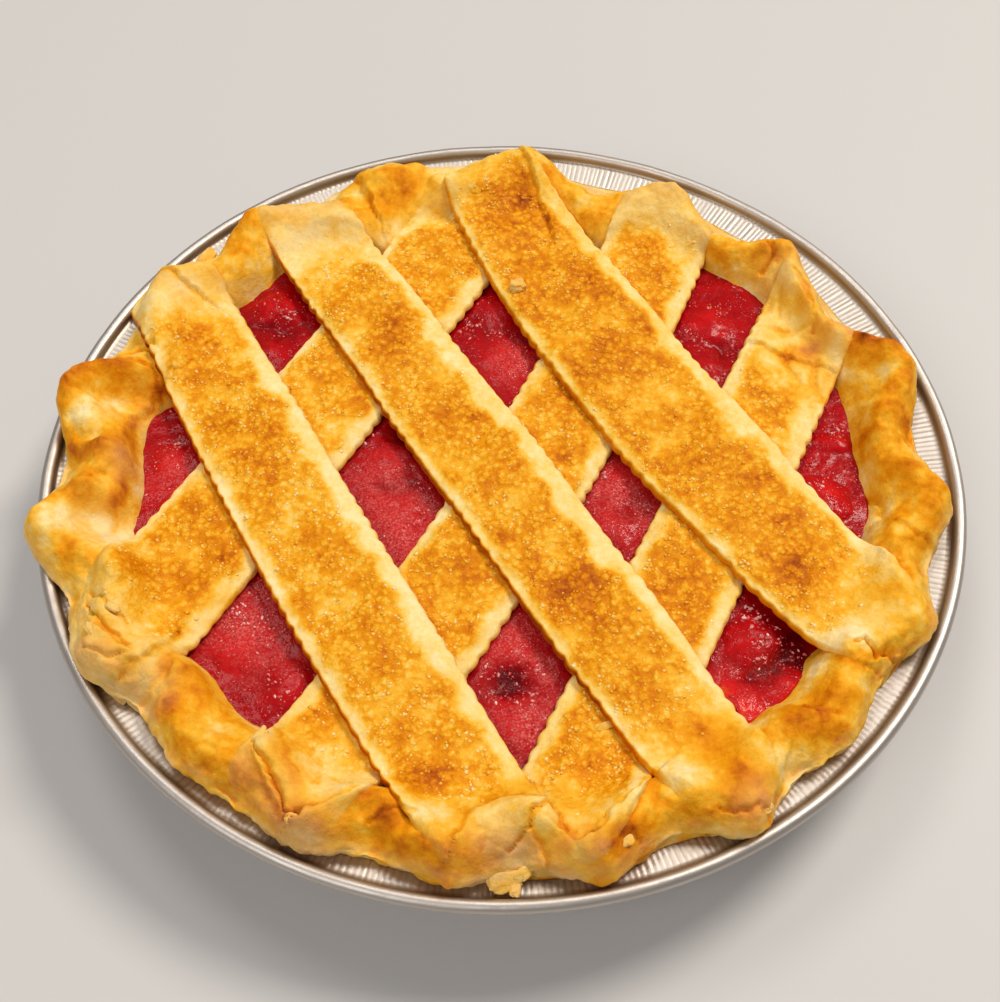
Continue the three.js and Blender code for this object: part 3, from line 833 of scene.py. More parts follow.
DOUGH_COLOURS = [
    (0.0, (255, 230, 168)), (0.15, (252, 211, 118)), (0.33, (247, 185, 50)), (0.5, (237, 155, 12)),
    (0.66, (217, 125, 4)), (0.82, (182, 88, 2)), (1.0, (104, 44, 4)),
]
TORN_COLOURS = [(0.3, (206, 158, 92)), (0.5, (232, 188, 124)), (0.7, (246, 214, 156))]


def dough_material(name, grain):
    """Baked dough, browned by its bake attribute, matte where torn and grainy where sugar lies."""
    material = material_named(name)
    bake, sugar, torn = (attribute(material, key) for key in ("bake", "sugar", "torn"))
    patches = noise_node(material, 4.5, 6, 0.7)
    freckles = plus(material, patches, times(material, noise_node(material, 1.3, 3, 0.6), 0.6))
    blotch = times(material, minus(material, freckles, 0.8), 0.44)
    small_grains = times(material, grain_node(material, 0.9), 0.5)
    grains = plus(material, grain_node(material, 2.0), small_grains)
    hills = times(material, minus(material, grains, 0.7), sugar)
    speckle = times(material, spread(material, grains, 0.25, 0.85, -grain, 0.3 * grain), sugar)
    tone = plus(material, plus(material, bake, blotch), speckle, clamp=True)
    baked = ramp(material, tone, DOUGH_COLOURS)
    raw = ramp(material, patches, TORN_COLOURS)
    wrinkled = bumped(material, noise_node(material, 2.6, 5, 0.65), 1.0, 0.5)
    fine = bumped(material, noise_node(material, 0.8, 4), 0.3, 0.55, wrinkled)
    crust = bumped(material, times(material, hills, -1.0), 0.6, 0.8, fine)
    dryness = minus(material, plus(material, sugar, blotch), torn)
    rough = spread(material, dryness, -1, 1, 0.75, 0.4)
    principled(material, Base_Color=blended(material, torn, baked, raw), Roughness=rough, Normal=crust,
               Subsurface_Weight=0.12, Subsurface_Scale=0.003, Subsurface_Radius=(1.0, 0.5, 0.2),
               Specular_IOR_Level=0.1)
    return material


crust_dough = dough_material("crust_dough", 0.1)
strip_dough = dough_material("strip_dough", 0.24)

# ---- Crust ----

# Brown and pale places: x, y, radius, strength
CRUST_SPOTS = [
    (-104, 25, 4, 0.14), (-110, 20, 4, 0.14), (-113, -1, 4, 0.22), (-118, 8, 3, 0.14),
    (-108, -33, 4, 0.24), (-108, -44, 5, 0.12), (-77, -76, 4, 0.18), (-60, -95, 5, 0.14),
    (-48, -104, 5, 0.16), (-39, -98, 7, 0.1), (-18, -107, 8, 0.1), (30, -110, 7, 0.08),
    (25, -104, 4, 0.06), (109, 6, 9, 0.08), (99, 33, 7, 0.12), (108, -20, 8, 0.06), (75, -80, 8, 0.06),
    (80, 78, 9, 0.1), (-110, 9, 6, -0.3), (-114, -25, 6, -0.22), (-103, -26, 6, -0.2),
    (-94.5, -1, 3, -0.18), (-94, -9, 3.5, -0.22), (-93, -22, 5, -0.2), (92, -48, 8, -0.1),
    (-60, 90, 12, -0.14), (105, 22, 3.6, -0.4), (-66, -82, 4, -0.14), (98, -12, 5, 0.1),
    (-55, 102, 9, -0.14), (-34, 96, 6, 0.04), (-12, 102, 8, -0.1), (30, 104, 8, -0.1),
    (42, 99, 5, 0.14), (-92, 66, 7, -0.12), (70, 84, 7, -0.08), (86, -72, 6, -0.12), (24, -110, 5, 0.1),
    (68, -78, 5, 0.14), (97, 4, 2.5, 0.3), (50, -86, 6, 0.2), (53, -94, 5, 0.32), (38, -94, 5, -0.22),
    (61, -90, 5, -0.24), (-22, -109, 6, 0.05), (83, 50, 3, 0.25), (89, 43, 3, 0.3), (84, 58, 3, 0.12),
    (-20, 110, 9, -0.08), (105, -2, 9, -0.06), (-112, -37, 5, -0.1),
]
# Places where the dough is bare and pale brown: x, y, radius, strength
CRUST_TORN = [
    (-94, -6, 6, 0.6), (-101, -24, 6, 0.35), (-97, -64, 8, 0.6), (-84, -71, 6, 0.6),
    (-44, -108, 6, 0.6), (60, 96, 9, 0.4), (-95, 12, 5, 0.4), (-1, -106, 6, 0.8), (4, -112, 4, 0.6),
    (56, -100, 6, 0.3), (84, 56, 9, 0.6),
]


def crust_tone(x, y, z):
    """How brown the rim is: crests are brown and hollows pale."""
    rim = rim_at(x, y)
    level = rim_level(rim, clip(rim.inward))
    tone = 0.24 + 0.16 * ease(level, 0.35, 1) + 0.19 * surface_noise(x, y, z, 9, 41, 4, 0.66)
    tone = tone + 0.08 * ease(-y, 60, 112) + spotted(x, y, CRUST_SPOTS)
    for line, _, width, brown in RIDGES:
        distance, _ = line_distance(x, y, line)
        tone = tone + brown * np.exp(-((distance / width) ** 2))
    return tone


def crust_bare_and_shade(x, y):
    """How bare and matte the rim's dough is at plan points, more so under its near side, where the tan is
    painted shade.
    """
    # On the outer bulge of the near side the matte tan is painted shade.
    outer = 0.42 * ease(-rim_at(x, y).inward, -0.17, -0.03) * ease(-y, -20, 60)
    outer = outer * clip(0.65 + 0.6 * plan_noise(x, y, 9, 47, 2))
    return clip(spotted(x, y, CRUST_TORN) + outer, 0, 0.9)


def rough_noise(x, y, z):
    """Small lumps of the dough, the same for the rim and for what is pressed into it."""
    return 0.8 * surface_noise(x, y, z, ROUGH_SIZE, 31, 3, 0.6)


def make_crust():
    """One shell of dough: the outside in the tin, under the rim, over its top and down the inside."""
    angle, rim = rim_round(CRUST_TURNS)
    lobe = clip((rim.reach - PINCH_REACH) / (LOBE_REACH - PINCH_REACH))
    base = TIN_WALL_TOP_RADIUS + GAP + RIM_BASE_SPREAD * lobe
    base_height = WALL_TOP_HEIGHT + GAP + (base - TIN_WALL_TOP_RADIUS) * RIM_BASE_SLOPE
    floor = FOIL_THICKNESS + GAP
    outer = [(ring, floor) for ring in (*CRUST_FLOOR_RINGS, TIN_BOTTOM_RADIUS - TIN_CORNER - GAP)]
    outer.append((TIN_BOTTOM_RADIUS - GAP, CRUST_CORNER_HEIGHT))
    outer += [(mix(TIN_BOTTOM_RADIUS, TIN_WALL_TOP_RADIUS, share) - GAP,
               mix(CRUST_CORNER_HEIGHT, WALL_TOP_HEIGHT + GAP, share)) for share in (0.33, 0.66, 1)]
    bulge = rim_height(rim, 0)
    under = [(mix(base, rim.reach, math.sin(turn)), mix(base_height, bulge, 1 - math.cos(turn)))
             for turn in np.linspace(0, np.pi / 2, RIM_UNDER_STEPS)]
    top = [(mix(rim.reach, rim.foot, share), rim_height(rim, share)) for share in rim_curve[1:, 0]]
    inside = TIN_BOTTOM_RADIUS - CRUST_THICKNESS
    inner = [(rim.foot - CRUST_SKIRT, FILLING_LEVEL - SKIRT_DROP),
             (inside, floor + CRUST_THICKNESS + INNER_CORNER)]
    inner += [(ring, floor + CRUST_THICKNESS) for ring in (inside - INNER_CORNER, *CRUST_INNER_RINGS)]
    radius, height = profiles(angle, outer + under + top + inner)
    first_under = len(outer)
    first_top = first_under + len(under)
    after_top = first_top + len(top)
    px, py = radius * np.cos(angle), radius * np.sin(angle)
    step = np.arange(radius.shape[1])[None, :]
    topness = ease(step, first_top - 3, first_top + 5) * (step < after_top)
    sideness = ease(step, first_under, first_under + 3) * (1 - ease(step, first_top - 1, first_top + 5))
    relief, cracked = dough_relief(px, py)
    height = height + (relief + rim_relief(px, py)) * topness
    rough = rough_noise(px, py, height)
    radius = radius + rough * sideness
    height = height + ROUGH_RISE * rough * topness
    points, faces = turned(radius, height)

    # Brown in the cracks and along fold edges is painted shade.
    tone = crust_tone(px, py, height) + 0.08 * rough + 0.3 * cracked * topness - 0.04 * sideness
    bare = crust_bare_and_shade(px, py) * topness
    bare = np.maximum(bare, 0.75 * sideness * ease(plan_noise(px, py, 12, 42, 2), -0.5, 0.3))
    bare = bare * (1 - cracked)
    ends = [0, 0]
    make_piece("crust_shell", points, faces, crust_dough, ["crust"],
               {"bake": np.append(tone.ravel(), ends), "sugar": np.zeros(tone.size + 2),
                "torn": np.append(bare.ravel(), ends)})


# ---- Strips ----

def make_strip(name, strip, rest, carried, look, seed):
    """One strip draped over what carries it. Gives its upper points, how sugared and how brown they are."""
    side_line = np.linspace(-1, 1, STRIP_ACROSS)
    side_line = np.sign(side_line) * (1 - (1 - np.abs(side_line)) ** EDGE_CROWDING)
    near, far = strip_end(strip, side_line, -1), strip_end(strip, side_line, 1)
    corner = clip((np.abs(side_line) - (1 - CORNER_SHARE)) / CORNER_SHARE) ** 2
    width = edge_offset(strip["right"], 0) - edge_offset(strip["left"], 0)
    places = np.column_stack([side_line * width / 2, np.full(STRIP_ACROSS, seed * 9.1),
                              np.zeros(STRIP_ACROSS)])
    near += look["near_corner"] * corner + look["near_ragged"] * noise(places, 5, 51)
    far -= look["far_corner"] * corner + look["far_ragged"] * noise(places, 5, 52)
    stations = int((far - near).mean() / STRIP_STEP)
    share = np.linspace(0, 1, stations)[:, None]
    share = share - END_CROWDING * np.sin(2 * np.pi * share) / (2 * np.pi)
    run = mix(near[None, :], far[None, :], share)
    side = np.broadcast_to(side_line[None, :], run.shape)
    to_edge = (1 - np.abs(side)) * width / 2
    to_near, to_far = run - near[None, :], far[None, :] - run
    to_end = np.minimum(to_near, to_far)
    merge = merging(look, to_near, to_far)
    x, y = strip_plan(strip, side, run, np.exp(-to_edge / SCALLOP_REACH) * (1 - merge))
    thick = strip_height(look, to_edge, to_near, to_far)
    curl = look["curl"] * ease(-to_edge, -6, 0) * (side < 0)
    under = sampled(rest, x, y) + curl * (1 - merge)
    rounded = np.minimum(round_edge(to_edge), round_edge(to_end + 0.3, 1.2))
    relief, cracked = dough_relief(x, y)
    sugared, tone, torn = strip_tone(x, y, to_edge, to_near, to_far, side, look, seed)
    grainy = sugared * (0.26 * plan_noise(x, y, 2.1, 61, 2) + 0.1 * plan_noise(x, y, 1.0, 62))
    top = under + thick * (0.28 + 0.72 * rounded) + relief * rounded + grainy
    top = top + SUGAR_RISE * sugared * rounded
    sunk = 1 - np.minimum(round_edge(to_edge, 4), round_edge(to_end, 5))
    pressed = sampled(carried, x, y) + relief + MERGE_RISE - MERGED_EDGE_DROP * sunk
    pressed = pressed + ROUGH_RISE * rough_noise(x, y, pressed)
    top = mix(top, pressed, merge)
    under = mix(under, pressed - MERGED_THICKNESS, merge)
    low_line = np.linspace(1, -1, STRIP_UNDER)
    column = np.interp(low_line, side_line, np.arange(STRIP_ACROSS)).round().astype(int)
    upper = np.stack([x, y, top], axis=-1)
    lower = np.stack([x[:, column], y[:, column], under[:, column]], axis=-1)
    points, faces = tube(np.concatenate([upper, lower], axis=1))
    pad = np.zeros((stations, STRIP_UNDER))
    tone = mix(tone, crust_tone(x, y, top) + 0.08 * rough_noise(x, y, top), merge * (1 - sugared))
    # Both edges are a little baked brown; the left edge's extra darkness, strong on upper strips, is painted
    # shade.
    edge_brown_and_shade = np.where(side < 0, look["edge_brown_and_shade"], 0.12) * ease(-to_edge, -0.8, -0.1)
    # Brown in the cracks and along fold edges is painted shade.
    tone = tone + 0.3 * cracked + edge_brown_and_shade * ease(to_near, 6, 24) * (1 - merge)
    torn = np.maximum(torn, merge * crust_bare_and_shade(x, y))
    values = {"bake": np.concatenate([tone, pad + 0.55], axis=1),
              "sugar": np.concatenate([sugared, pad], axis=1),
              "torn": np.concatenate([torn * (1 - cracked), pad], axis=1)}
    make_piece(name + "_dough", points, faces, strip_dough, [name], values)
    return upper, sugared, tone


def strip_tone(x, y, to_edge, to_near, to_far, side, look, seed):
    """How sugared, how brown and how bare a strip is at plan points."""
    margin = np.where(side > 0, look["right_margin"], look["left_margin"])
    wander = margin * (1 + 0.8 * plan_noise(x, y, 9, 70 + seed)) + 0.7 * plan_noise(x, y, 2.5, 80 + seed)
    patch = plan_noise(x, y, 13, 90 + seed, 4, 0.75)
    ragged = 5 * plan_noise(x, y, 10, 60 + seed, 2)
    near_end = ease(to_near + ragged, look["near_bare"] - 8, look["near_bare"] + 9)
    far_end = ease(to_far + ragged, look["far_bare"] - 8, look["far_bare"] + 12)
    sugared = ease(to_edge - wander, -1.4, 2.4) * near_end * far_end
    tone = BARE_TONE + 0.05 * patch + sugared * (SUGARED_TONE + 0.11 * patch) + spotted(x, y, look["spots"])
    tone = tone + 0.14 * (1 - near_end * far_end) * ease(plan_noise(x, y, 8, 95, 3, 0.6), -0.3, 0.6)
    sugared = sugared * (1 - 0.5 * ease(-patch, 0.2, 0.8))
    torn = look["near_torn"] * ease(-to_near, -look["near_bare"], -2)
    torn = torn + look["far_torn"] * ease(-to_far, -look["far_bare"], -4)
    torn = clip(torn * (0.8 + 0.8 * plan_noise(x, y, 9, 97, 2)), 0, 0.9)
    return sugared, tone, torn


# ---- Filling ----

# Cherries: x, y, radius, how far they stand out of the juice
CHERRIES = [
    (61, -55, 8, 2.2), (70, -68, 7, 1.6), (57, -72, 7, 1.2), (60, 48, 9, 1.8), (57, 35, 8, 1.2),
    (90, 6, 5, 1.0), (85, -13, 8, 1.6), (0, 54, 8.5, 1.6), (2, 36, 8.5, 1.2), (33, -6, 8.5, 1.3),
    (27, -21, 8, 1.4), (-30, 0, 8, 1.3), (-29, -18, 9, 1.3), (-65, 55, 8, 2.0), (-66, 40, 8, 1.2),
    (-89, 1, 6, 1.0), (-64, -54, 9, 1.2), (-54, -66, 8, 1.4), (2, -60, 9, 1.2), (1, -76, 8, 1.2),
]
# Hollows between them: x, y, radius, depth
HOLLOWS = [
    (2, -65, 4.5, 1.4), (-58, -66, 5, 1.4), (-31, -7.5, 2.6, 0.8), (-26, -8, 2.6, 0.8),
    (75, -60, 4, 1.4), (63, 40, 5, 1.2), (61, -64, 2.6, 1.5), (65, -62, 2.6, 1.6), (69, -59, 2.6, 1.5),
    (71, -54, 2.6, 1.2), (-64, 46, 4, 1.2), (8, 46, 4, 1.2), (36, -14, 4, 0.8), (76, -48, 5, 1.4),
    (-26, 9, 4, 1.2),
]
# Bright and dark places in the red, the dark ones, over hollows and cherry holes, are painted shade: x, y,
# radius, strength
BRIGHT = [
    (-66, -58, 9, 0.3), (-29, -22, 9, 0.2), (3, 34, 8, 0.25), (66, 46, 6, 0.2), (51.5, -68, 4, 0.9),
    (60, -76, 5, 0.6), (70, -72, 4, 0.5), (-90, -5, 8, 0.35), (86, -8, 6, 0.2), (30, -4, 7, 0.1),
    (4, -54, 8, 0.2), (8, -78, 6, 0.2), (67, -55, 8, -0.45), (74, -60, 5, -0.3), (2, -65, 4.5, -0.85),
    (-6, 50, 7, -0.35), (58, 42, 9, -0.2), (-66, 48, 9, -0.25), (-32, -7, 2.6, -0.4),
    (-28, -7.5, 2.6, -0.45), (-24, -8.5, 2.6, -0.4), (-38, 7, 4, -0.3), (-19, -12, 3, -0.2),
    (33, -16, 4, -0.3), (-26, 9, 5, -0.4), (-54, -66, 7, -0.1), (-4, -50, 5, -0.2),
]
# Frothy skin: x, y, radius, strength
FROTH = [
    (-28, -22, 12, 0.75), (-32, -4, 8, 0.6), (30, -12, 13, 0.6), (-62, -46, 10, 0.7), (2, -54, 9, 0.65),
    (5, 34, 9, 0.7), (-74, -52, 7, 0.5), (-56, -60, 8, 0.3), (9, -74, 7, 0.4), (-90, -4, 7, 0.4),
    (60, -66, 9, 0.25), (4, -80, 7, 0.6), (-5, -70, 4, 0.4), (11, -64, 4, 0.4), (2, -65, 4.5, -0.7),
]


def filling_top(x, y):
    """Height of the juice and of the cherries that stand out of it."""
    radius = np.hypot(x, y)
    height = FILLING_LEVEL + FILLING_DOME * (1 - (radius / RIM_FOOT_RADIUS) ** 2) - JUICE_SINK
    cherries = np.full(np.shape(x), -1e3)
    px, py = warped(x, y, CHERRY_WARP, 2)
    for cx, cy, size, rise in CHERRIES:
        distance = np.hypot(px - cx, py - cy) / size
        swelling = (0.7 * rise + 1.7) * (1 - clip(distance) ** 2) ** 0.75
        cherries = np.maximum(cherries, np.where(distance < 1, swelling, 0) - 1.2)
    ripples = 1 - 2 * np.abs(plan_noise(x, y, RIPPLE_SIZE, 103, 2))
    height += RIPPLE_HEIGHT * ripples + 0.1 * plan_noise(x, y, 2.8, 104) + 0.5
    floor = FILLING_LEVEL + 3
    together = np.exp((height - floor) / CHERRY_BLEND)
    together = together + np.exp((FILLING_LEVEL + cherries - floor) / CHERRY_BLEND)
    together = CHERRY_BLEND * np.log(together) + floor
    together = together - spotted(px, py, HOLLOWS)
    return together + 0.07 * plan_noise(x, y, 1.5, 105)


RED_COLOURS = [
    (0.0, (94, 0, 6)), (0.3, (150, 0, 8)), (0.6, (186, 8, 16)), (0.85, (216, 28, 26)), (1.0, (238, 80, 28)),
]
FROTH_COLOURS = [(0.1, (228, 108, 98)), (0.5, (200, 56, 54)), (1.0, (172, 24, 32))]


def filling_material():
    """Wet red cherries and juice, paler where they are frothy."""
    material = material_named("cherry_filling")
    froth, bright = attribute(material, "froth"), attribute(material, "bright")
    stain = minus(material, noise_node(material, 3.4, 3), 0.5)
    tone = plus(material, bright, times(material, stain, 0.55), clamp=True)
    red = ramp(material, tone, RED_COLOURS)
    bubbles = grain_node(material, 1.0)
    foam = grain_node(material, 0.7)
    skin = ramp(material, plus(material, foam, stain), FROTH_COLOURS)
    rough = spread(material, froth, 0, 1, 0.26, 0.36)
    ripple = bumped(material, noise_node(material, 1.9, 3), 0.6, 0.3)
    domes = spread(material, bubbles, 0.08, 0.4, 1, 0)
    beads = times(material, domes, spread(material, noise_node(material, 4, 2), 0.42, 0.56))
    pits = plus(material, beads, times(material, foam, froth))
    wet = bumped(material, pits, 0.3, 0.7, ripple)
    principled(material, Base_Color=blended(material, froth, red, skin), Roughness=rough, Normal=wet,
               Coat_Weight=0.12, Coat_Roughness=0.05, Coat_Normal=wet, Specular_IOR_Level=0.1,
               Subsurface_Weight=0.2, Subsurface_Scale=0.003, Subsurface_Radius=(1.0, 0.12, 0.1))
    return material


def make_filling():
    """The cherries and juice, and below them one solid down to the crust."""
    angle, rim = rim_round(FILLING_TURNS)
    radius = (rim.foot + FILLING_TUCK) * np.linspace(1, FILLING_MIDDLE, FILLING_RINGS)[None, :] ** 0.8
    height = filling_top(radius * np.cos(angle), radius * np.sin(angle))
    floor = FOIL_THICKNESS + 2 * GAP + CRUST_THICKNESS
    inside = TIN_BOTTOM_RADIUS - CRUST_THICKNESS - 2 * GAP
    low = profiles(angle, [(FILLING_FLOOR_RING, floor), (inside - INNER_CORNER, floor),
                           (inside, floor + INNER_CORNER),
                           (rim.foot - FILLING_SKIRT, FILLING_LEVEL - SKIRT_DROP)])
    points, faces = turned(np.hstack([low[0], radius]), np.hstack([low[1], height]))
    px, py = points[:, 0], points[:, 1]
    froth = clip(spotted(px, py, FROTH) * (1 + 0.9 * plan_noise(px, py, 5, 111, 2)), 0, 0.85)
    # Painted shade: the red darkens the lower the juice lies, and at the dark places of the list above.
    lit = 0.5 - 0.16 * (FILLING_LEVEL + 0.8 - points[:, 2]) + 0.6 * spotted(px, py, BRIGHT)
    make_piece("filling_jam", points, faces, filling_material(), ["filling"],
               {"froth": froth, "bright": clip(lit)})


# ---- Foil tin ----

FOIL_COLOURS = [(0.0, (204, 196, 189)), (0.35, (182, 170, 158)), (1.0, (118, 94, 68))]


def foil_material():
    """Thin aluminium, browner along the inside of its bead, and in the valleys of its pleats with painted
    shade.
    """
    material = material_named("pressed_foil")
    stain = noise_node(material, 14, 3)
    grime_and_shade = attribute(material, "grime_and_shade")
    tone = plus(material, times(material, stain, 0.2), grime_and_shade, clamp=True)
    colour = ramp(material, tone, FOIL_COLOURS)
    rough = spread(material, stain, 0, 1, 0.36, 0.56)
    dents = bumped(material, noise_node(material, 2.2, 3), 0.12, 0.5)
    principled(material, Base_Color=colour, Metallic=1.0, Roughness=rough, Normal=dents)
    return material


def make_tin():
    """The foil tin: outside, rolled bead, flange and inside, with its pleats."""
    turns = PLEATS * PLEAT_STEPS
    angle = round_angles(turns)
    foil = FOIL_THICKNESS
    wall = np.linspace(0, 1, WALL_STEPS + 1)
    outer = [(ring, 0) for ring in (*TIN_FLOOR_RINGS, TIN_BOTTOM_RADIUS - TIN_CORNER)]
    outer += [(mix(TIN_BOTTOM_RADIUS, TIN_WALL_TOP_RADIUS, share) + foil / 2,
               mix(TIN_CORNER + foil, WALL_TOP_HEIGHT, share) - foil) for share in wall]
    bead = [(BEAD_CENTRE_RADIUS + BEAD_RADIUS * math.cos(turn), RIM_LEVEL + BEAD_RADIUS * math.sin(turn))
            for turn in np.radians(np.linspace(*BEAD_ARC, BEAD_STEPS))]
    inner = [(mix(FLANGE_EDGE_RADIUS, TIN_WALL_TOP_RADIUS, share),
              mix(WALL_TOP_HEIGHT + FLANGE_RISE, WALL_TOP_HEIGHT, share))
             for share in np.linspace(0, 1, FLANGE_STEPS + 1)]
    inner += [(mix(TIN_WALL_TOP_RADIUS, TIN_BOTTOM_RADIUS, share),
               mix(WALL_TOP_HEIGHT, TIN_CORNER + foil, share)) for share in wall[1:]]
    inner += [(ring, foil) for ring in (TIN_BOTTOM_RADIUS - TIN_CORNER, *TIN_FLOOR_RINGS[::-1])]
    profile = np.array(outer + bead + inner)
    radius = np.broadcast_to(profile[:, 0], (turns, len(profile))).copy()
    height = np.broadcast_to(profile[:, 1], (turns, len(profile))).copy()
    ring = np.column_stack([np.cos(angle) * 40, np.sin(angle) * 40, angle * 0])
    waver = noise(ring, 1.6, 121)[:, None]
    phase = np.abs(np.sin(PLEATS / 2 * angle + PLEAT_WAVER * waver)) ** PLEAT_ROUNDNESS - 0.5
    depth = PLEAT_DEPTH * (1 + 0.6 * noise(ring, 0.9, 122)[:, None])
    beadless = np.ones(len(profile))
    beadless[len(outer):len(outer) + len(bead)] = 0
    fading = ease(profile[:, 0], TIN_BOTTOM_RADIUS - 1, TIN_BOTTOM_RADIUS + 1.5) * beadless
    fading = fading * (1 - 0.7 * ease(profile[:, 0], FLANGE_EDGE_RADIUS - 1, FLANGE_EDGE_RADIUS))
    flatness = ease(profile[:, 0], TIN_WALL_TOP_RADIUS - 0.5, TIN_WALL_TOP_RADIUS + 1)
    height += phase * depth * fading * (0.35 + 0.65 * flatness)
    radius += phase * depth * fading * (1 - flatness) * 3
    kink = noise(ring, 6, 123)[:, None] * 0.25 + noise(ring, 1.5, 124)[:, None] * 0.06
    height += kink * (1 - beadless)
    points, faces = turned(radius, height)
    reach = np.hypot(points[:, 0], points[:, 1])
    # Darker along the inside of the bead, where it meets the flange.
    grime_and_shade = 0.4 * bump(reach, FLANGE_EDGE_RADIUS + 0.1, 0.5) * (points[:, 2] > 26)
    # Painted shade: darker in the valleys of the pleats.
    grime_and_shade += np.append((0.45 * (0.5 - phase) ** 2 * fading).ravel(), [0, 0])
    make_piece("foil_tin", points, faces, foil_material(), ["tin"], {"grime_and_shade": grime_and_shade})


# ---- Bubbles and painted glints, sugar and scraps of dough ----

def chosen_places(rng, weights, count):
    """Random picks of different places, more of them where the weights are high."""
    return rng.choice(len(weights), count, replace=False, p=weights / weights.sum())


# Where bubbles gather and turn pale as painted glints: x, y, radius, strength
GLINT_AND_BUBBLE_PLACES = [
    (62, -47, 3, 2), (66, -55, 2.5, 1.6), (63, -60, 2, 1), (73, -57, 2, 1.2), (-38, 7, 3, 1),
    (-44, -2, 5, 0.4), (-20, -8, 4, 0.4), (-7, 50, 4, 1.2), (-1, 46, 2, 1), (-62, 52, 3, 1),
    (-65, 46, 2, 1), (-88, 6, 3, 1), (-4, -68, 2, 1), (8, -63, 2, 1), (2, -59, 2, 1), (3, -72, 3, 0.6),
    (-68, -43, 5, 0.8), (-55, -64, 6, 0.6), (-3, -62, 1.6, 1.5), (6.5, -69, 1.6, 1.5),
    (-2, -71, 1.6, 1.5), (-62, -50, 6, 0.8), (-52, -69, 2, 1.2), (27, -4, 3, 0.8), (37, -15, 4, 0.6),
    (63, 55, 3, 1), (57, 42, 3, 0.8), (92, 10, 3, 0.8), (85, -10, 4, 0.8),
]
# The palest colour is a painted highlight.
BUBBLE_AND_GLINT_COLOURS = [(0.0, (176, 32, 38)), (0.5, (212, 86, 84)), (1.0, (250, 206, 198))]


def bubble_and_glint_material():
    material = material_named("juice_bubbles_and_glints")
    colour = ramp(material, attribute(material, "shade"), BUBBLE_AND_GLINT_COLOURS)
    principled(material, Base_Color=colour, Roughness=0.12, Specular_IOR_Level=0.6)
    return material


def make_bubbles_and_glints():
    """Small bubbles that set in the juice, most of them beside the strips; the palest, most where they
    gather, are painted highlights for glints on the wet juice.
    """
    rng = np.random.RandomState(23)
    x, y = rng.uniform(-RIM_FOOT_RADIUS, RIM_FOOT_RADIUS, (2, BUBBLE_TRIES * BUBBLES))
    beside = rim_at(x, y).foot - np.hypot(x, y)
    for strip in LOWER_STRIPS + UPPER_STRIPS:
        to_edge, _, _ = inside_strip(strip, x, y)
        beside = np.minimum(beside, -to_edge)
    patchy = clip(0.4 + 1.8 * plan_noise(x, y, 7, 171, 2), 0.02, 2)
    weights = (0.16 + 0.6 * np.exp(-beside / 1.6)) * patchy + 0.5 * spotted(x, y, GLINT_AND_BUBBLE_PLACES)
    chosen = chosen_places(rng, (beside > 0.2) * weights, BUBBLES)
    x, y = x[chosen], y[chosen]
    gathered = clip(spotted(x, y, GLINT_AND_BUBBLE_PLACES))
    size = BUBBLE_SIZE + BUBBLE_SIZE_RANGE * rng.uniform(0, 1, BUBBLES) ** 2
    size = size * (1 + 0.4 * gathered)
    lie = rng.uniform(0, np.pi, BUBBLES)[:, None]
    form = ball(BUBBLE_TURNS, BUBBLE_RINGS)
    length, width = form[:, 0], BUBBLE_FLATNESS * form[:, 1]
    blobs = np.stack([length * np.cos(lie) - width * np.sin(lie), length * np.sin(lie) + width * np.cos(lie),
                      BUBBLE_FLATNESS * form[:, 2] + 0 * lie], axis=-1)
    centres = np.column_stack([x, y, filling_top(x, y)])
    points = (centres[:, None] + blobs * size[:, None, None]).reshape(-1, 3)
    # Painted highlights: paler bubbles, more so where they gather, stand in for glints.
    shade = np.repeat(0.7 * rng.uniform(0, 1, BUBBLES) ** 1.5 + 0.3 * gathered, len(form))
    faces = closed_faces(BUBBLE_TURNS, BUBBLE_RINGS, len(form) * np.arange(BUBBLES))
    make_piece("juice_bubbles_and_glints", points, faces, bubble_and_glint_material(),
               attributes={"shade": shade})


CUBE = np.array(list(itertools.product((-0.5, 0.5), repeat=3)))
CUBE_FACES = np.array([[0, 1, 3, 2], [4, 6, 7, 5], [0, 4, 5, 1], [2, 3, 7, 6], [0, 2, 6, 4], [1, 5, 7, 3]])


def random_turns(count, rng):
    """Random rotation matrices."""
    quaternion = rng.normal(size=(count, 4))
    w, x, y, z = (quaternion / np.linalg.norm(quaternion, axis=1)[:, None]).T
    rows = [1 - 2 * (y * y + z * z), 2 * (x * y - z * w), 2 * (x * z + y * w),
            2 * (x * y + z * w), 1 - 2 * (x * x + z * z), 2 * (y * z - x * w),
            2 * (x * z - y * w), 2 * (y * z + x * w), 1 - 2 * (x * x + y * y)]
    return np.stack(rows, axis=-1).reshape(count, 3, 3)


def sugar_material():
    material = material_named("sugar_crystals")
    colour = ramp(material, attribute(material, "shade"), DOUGH_COLOURS)
    principled(material, Base_Color=colour, Roughness=0.3, Specular_IOR_Level=0.4)
    return material


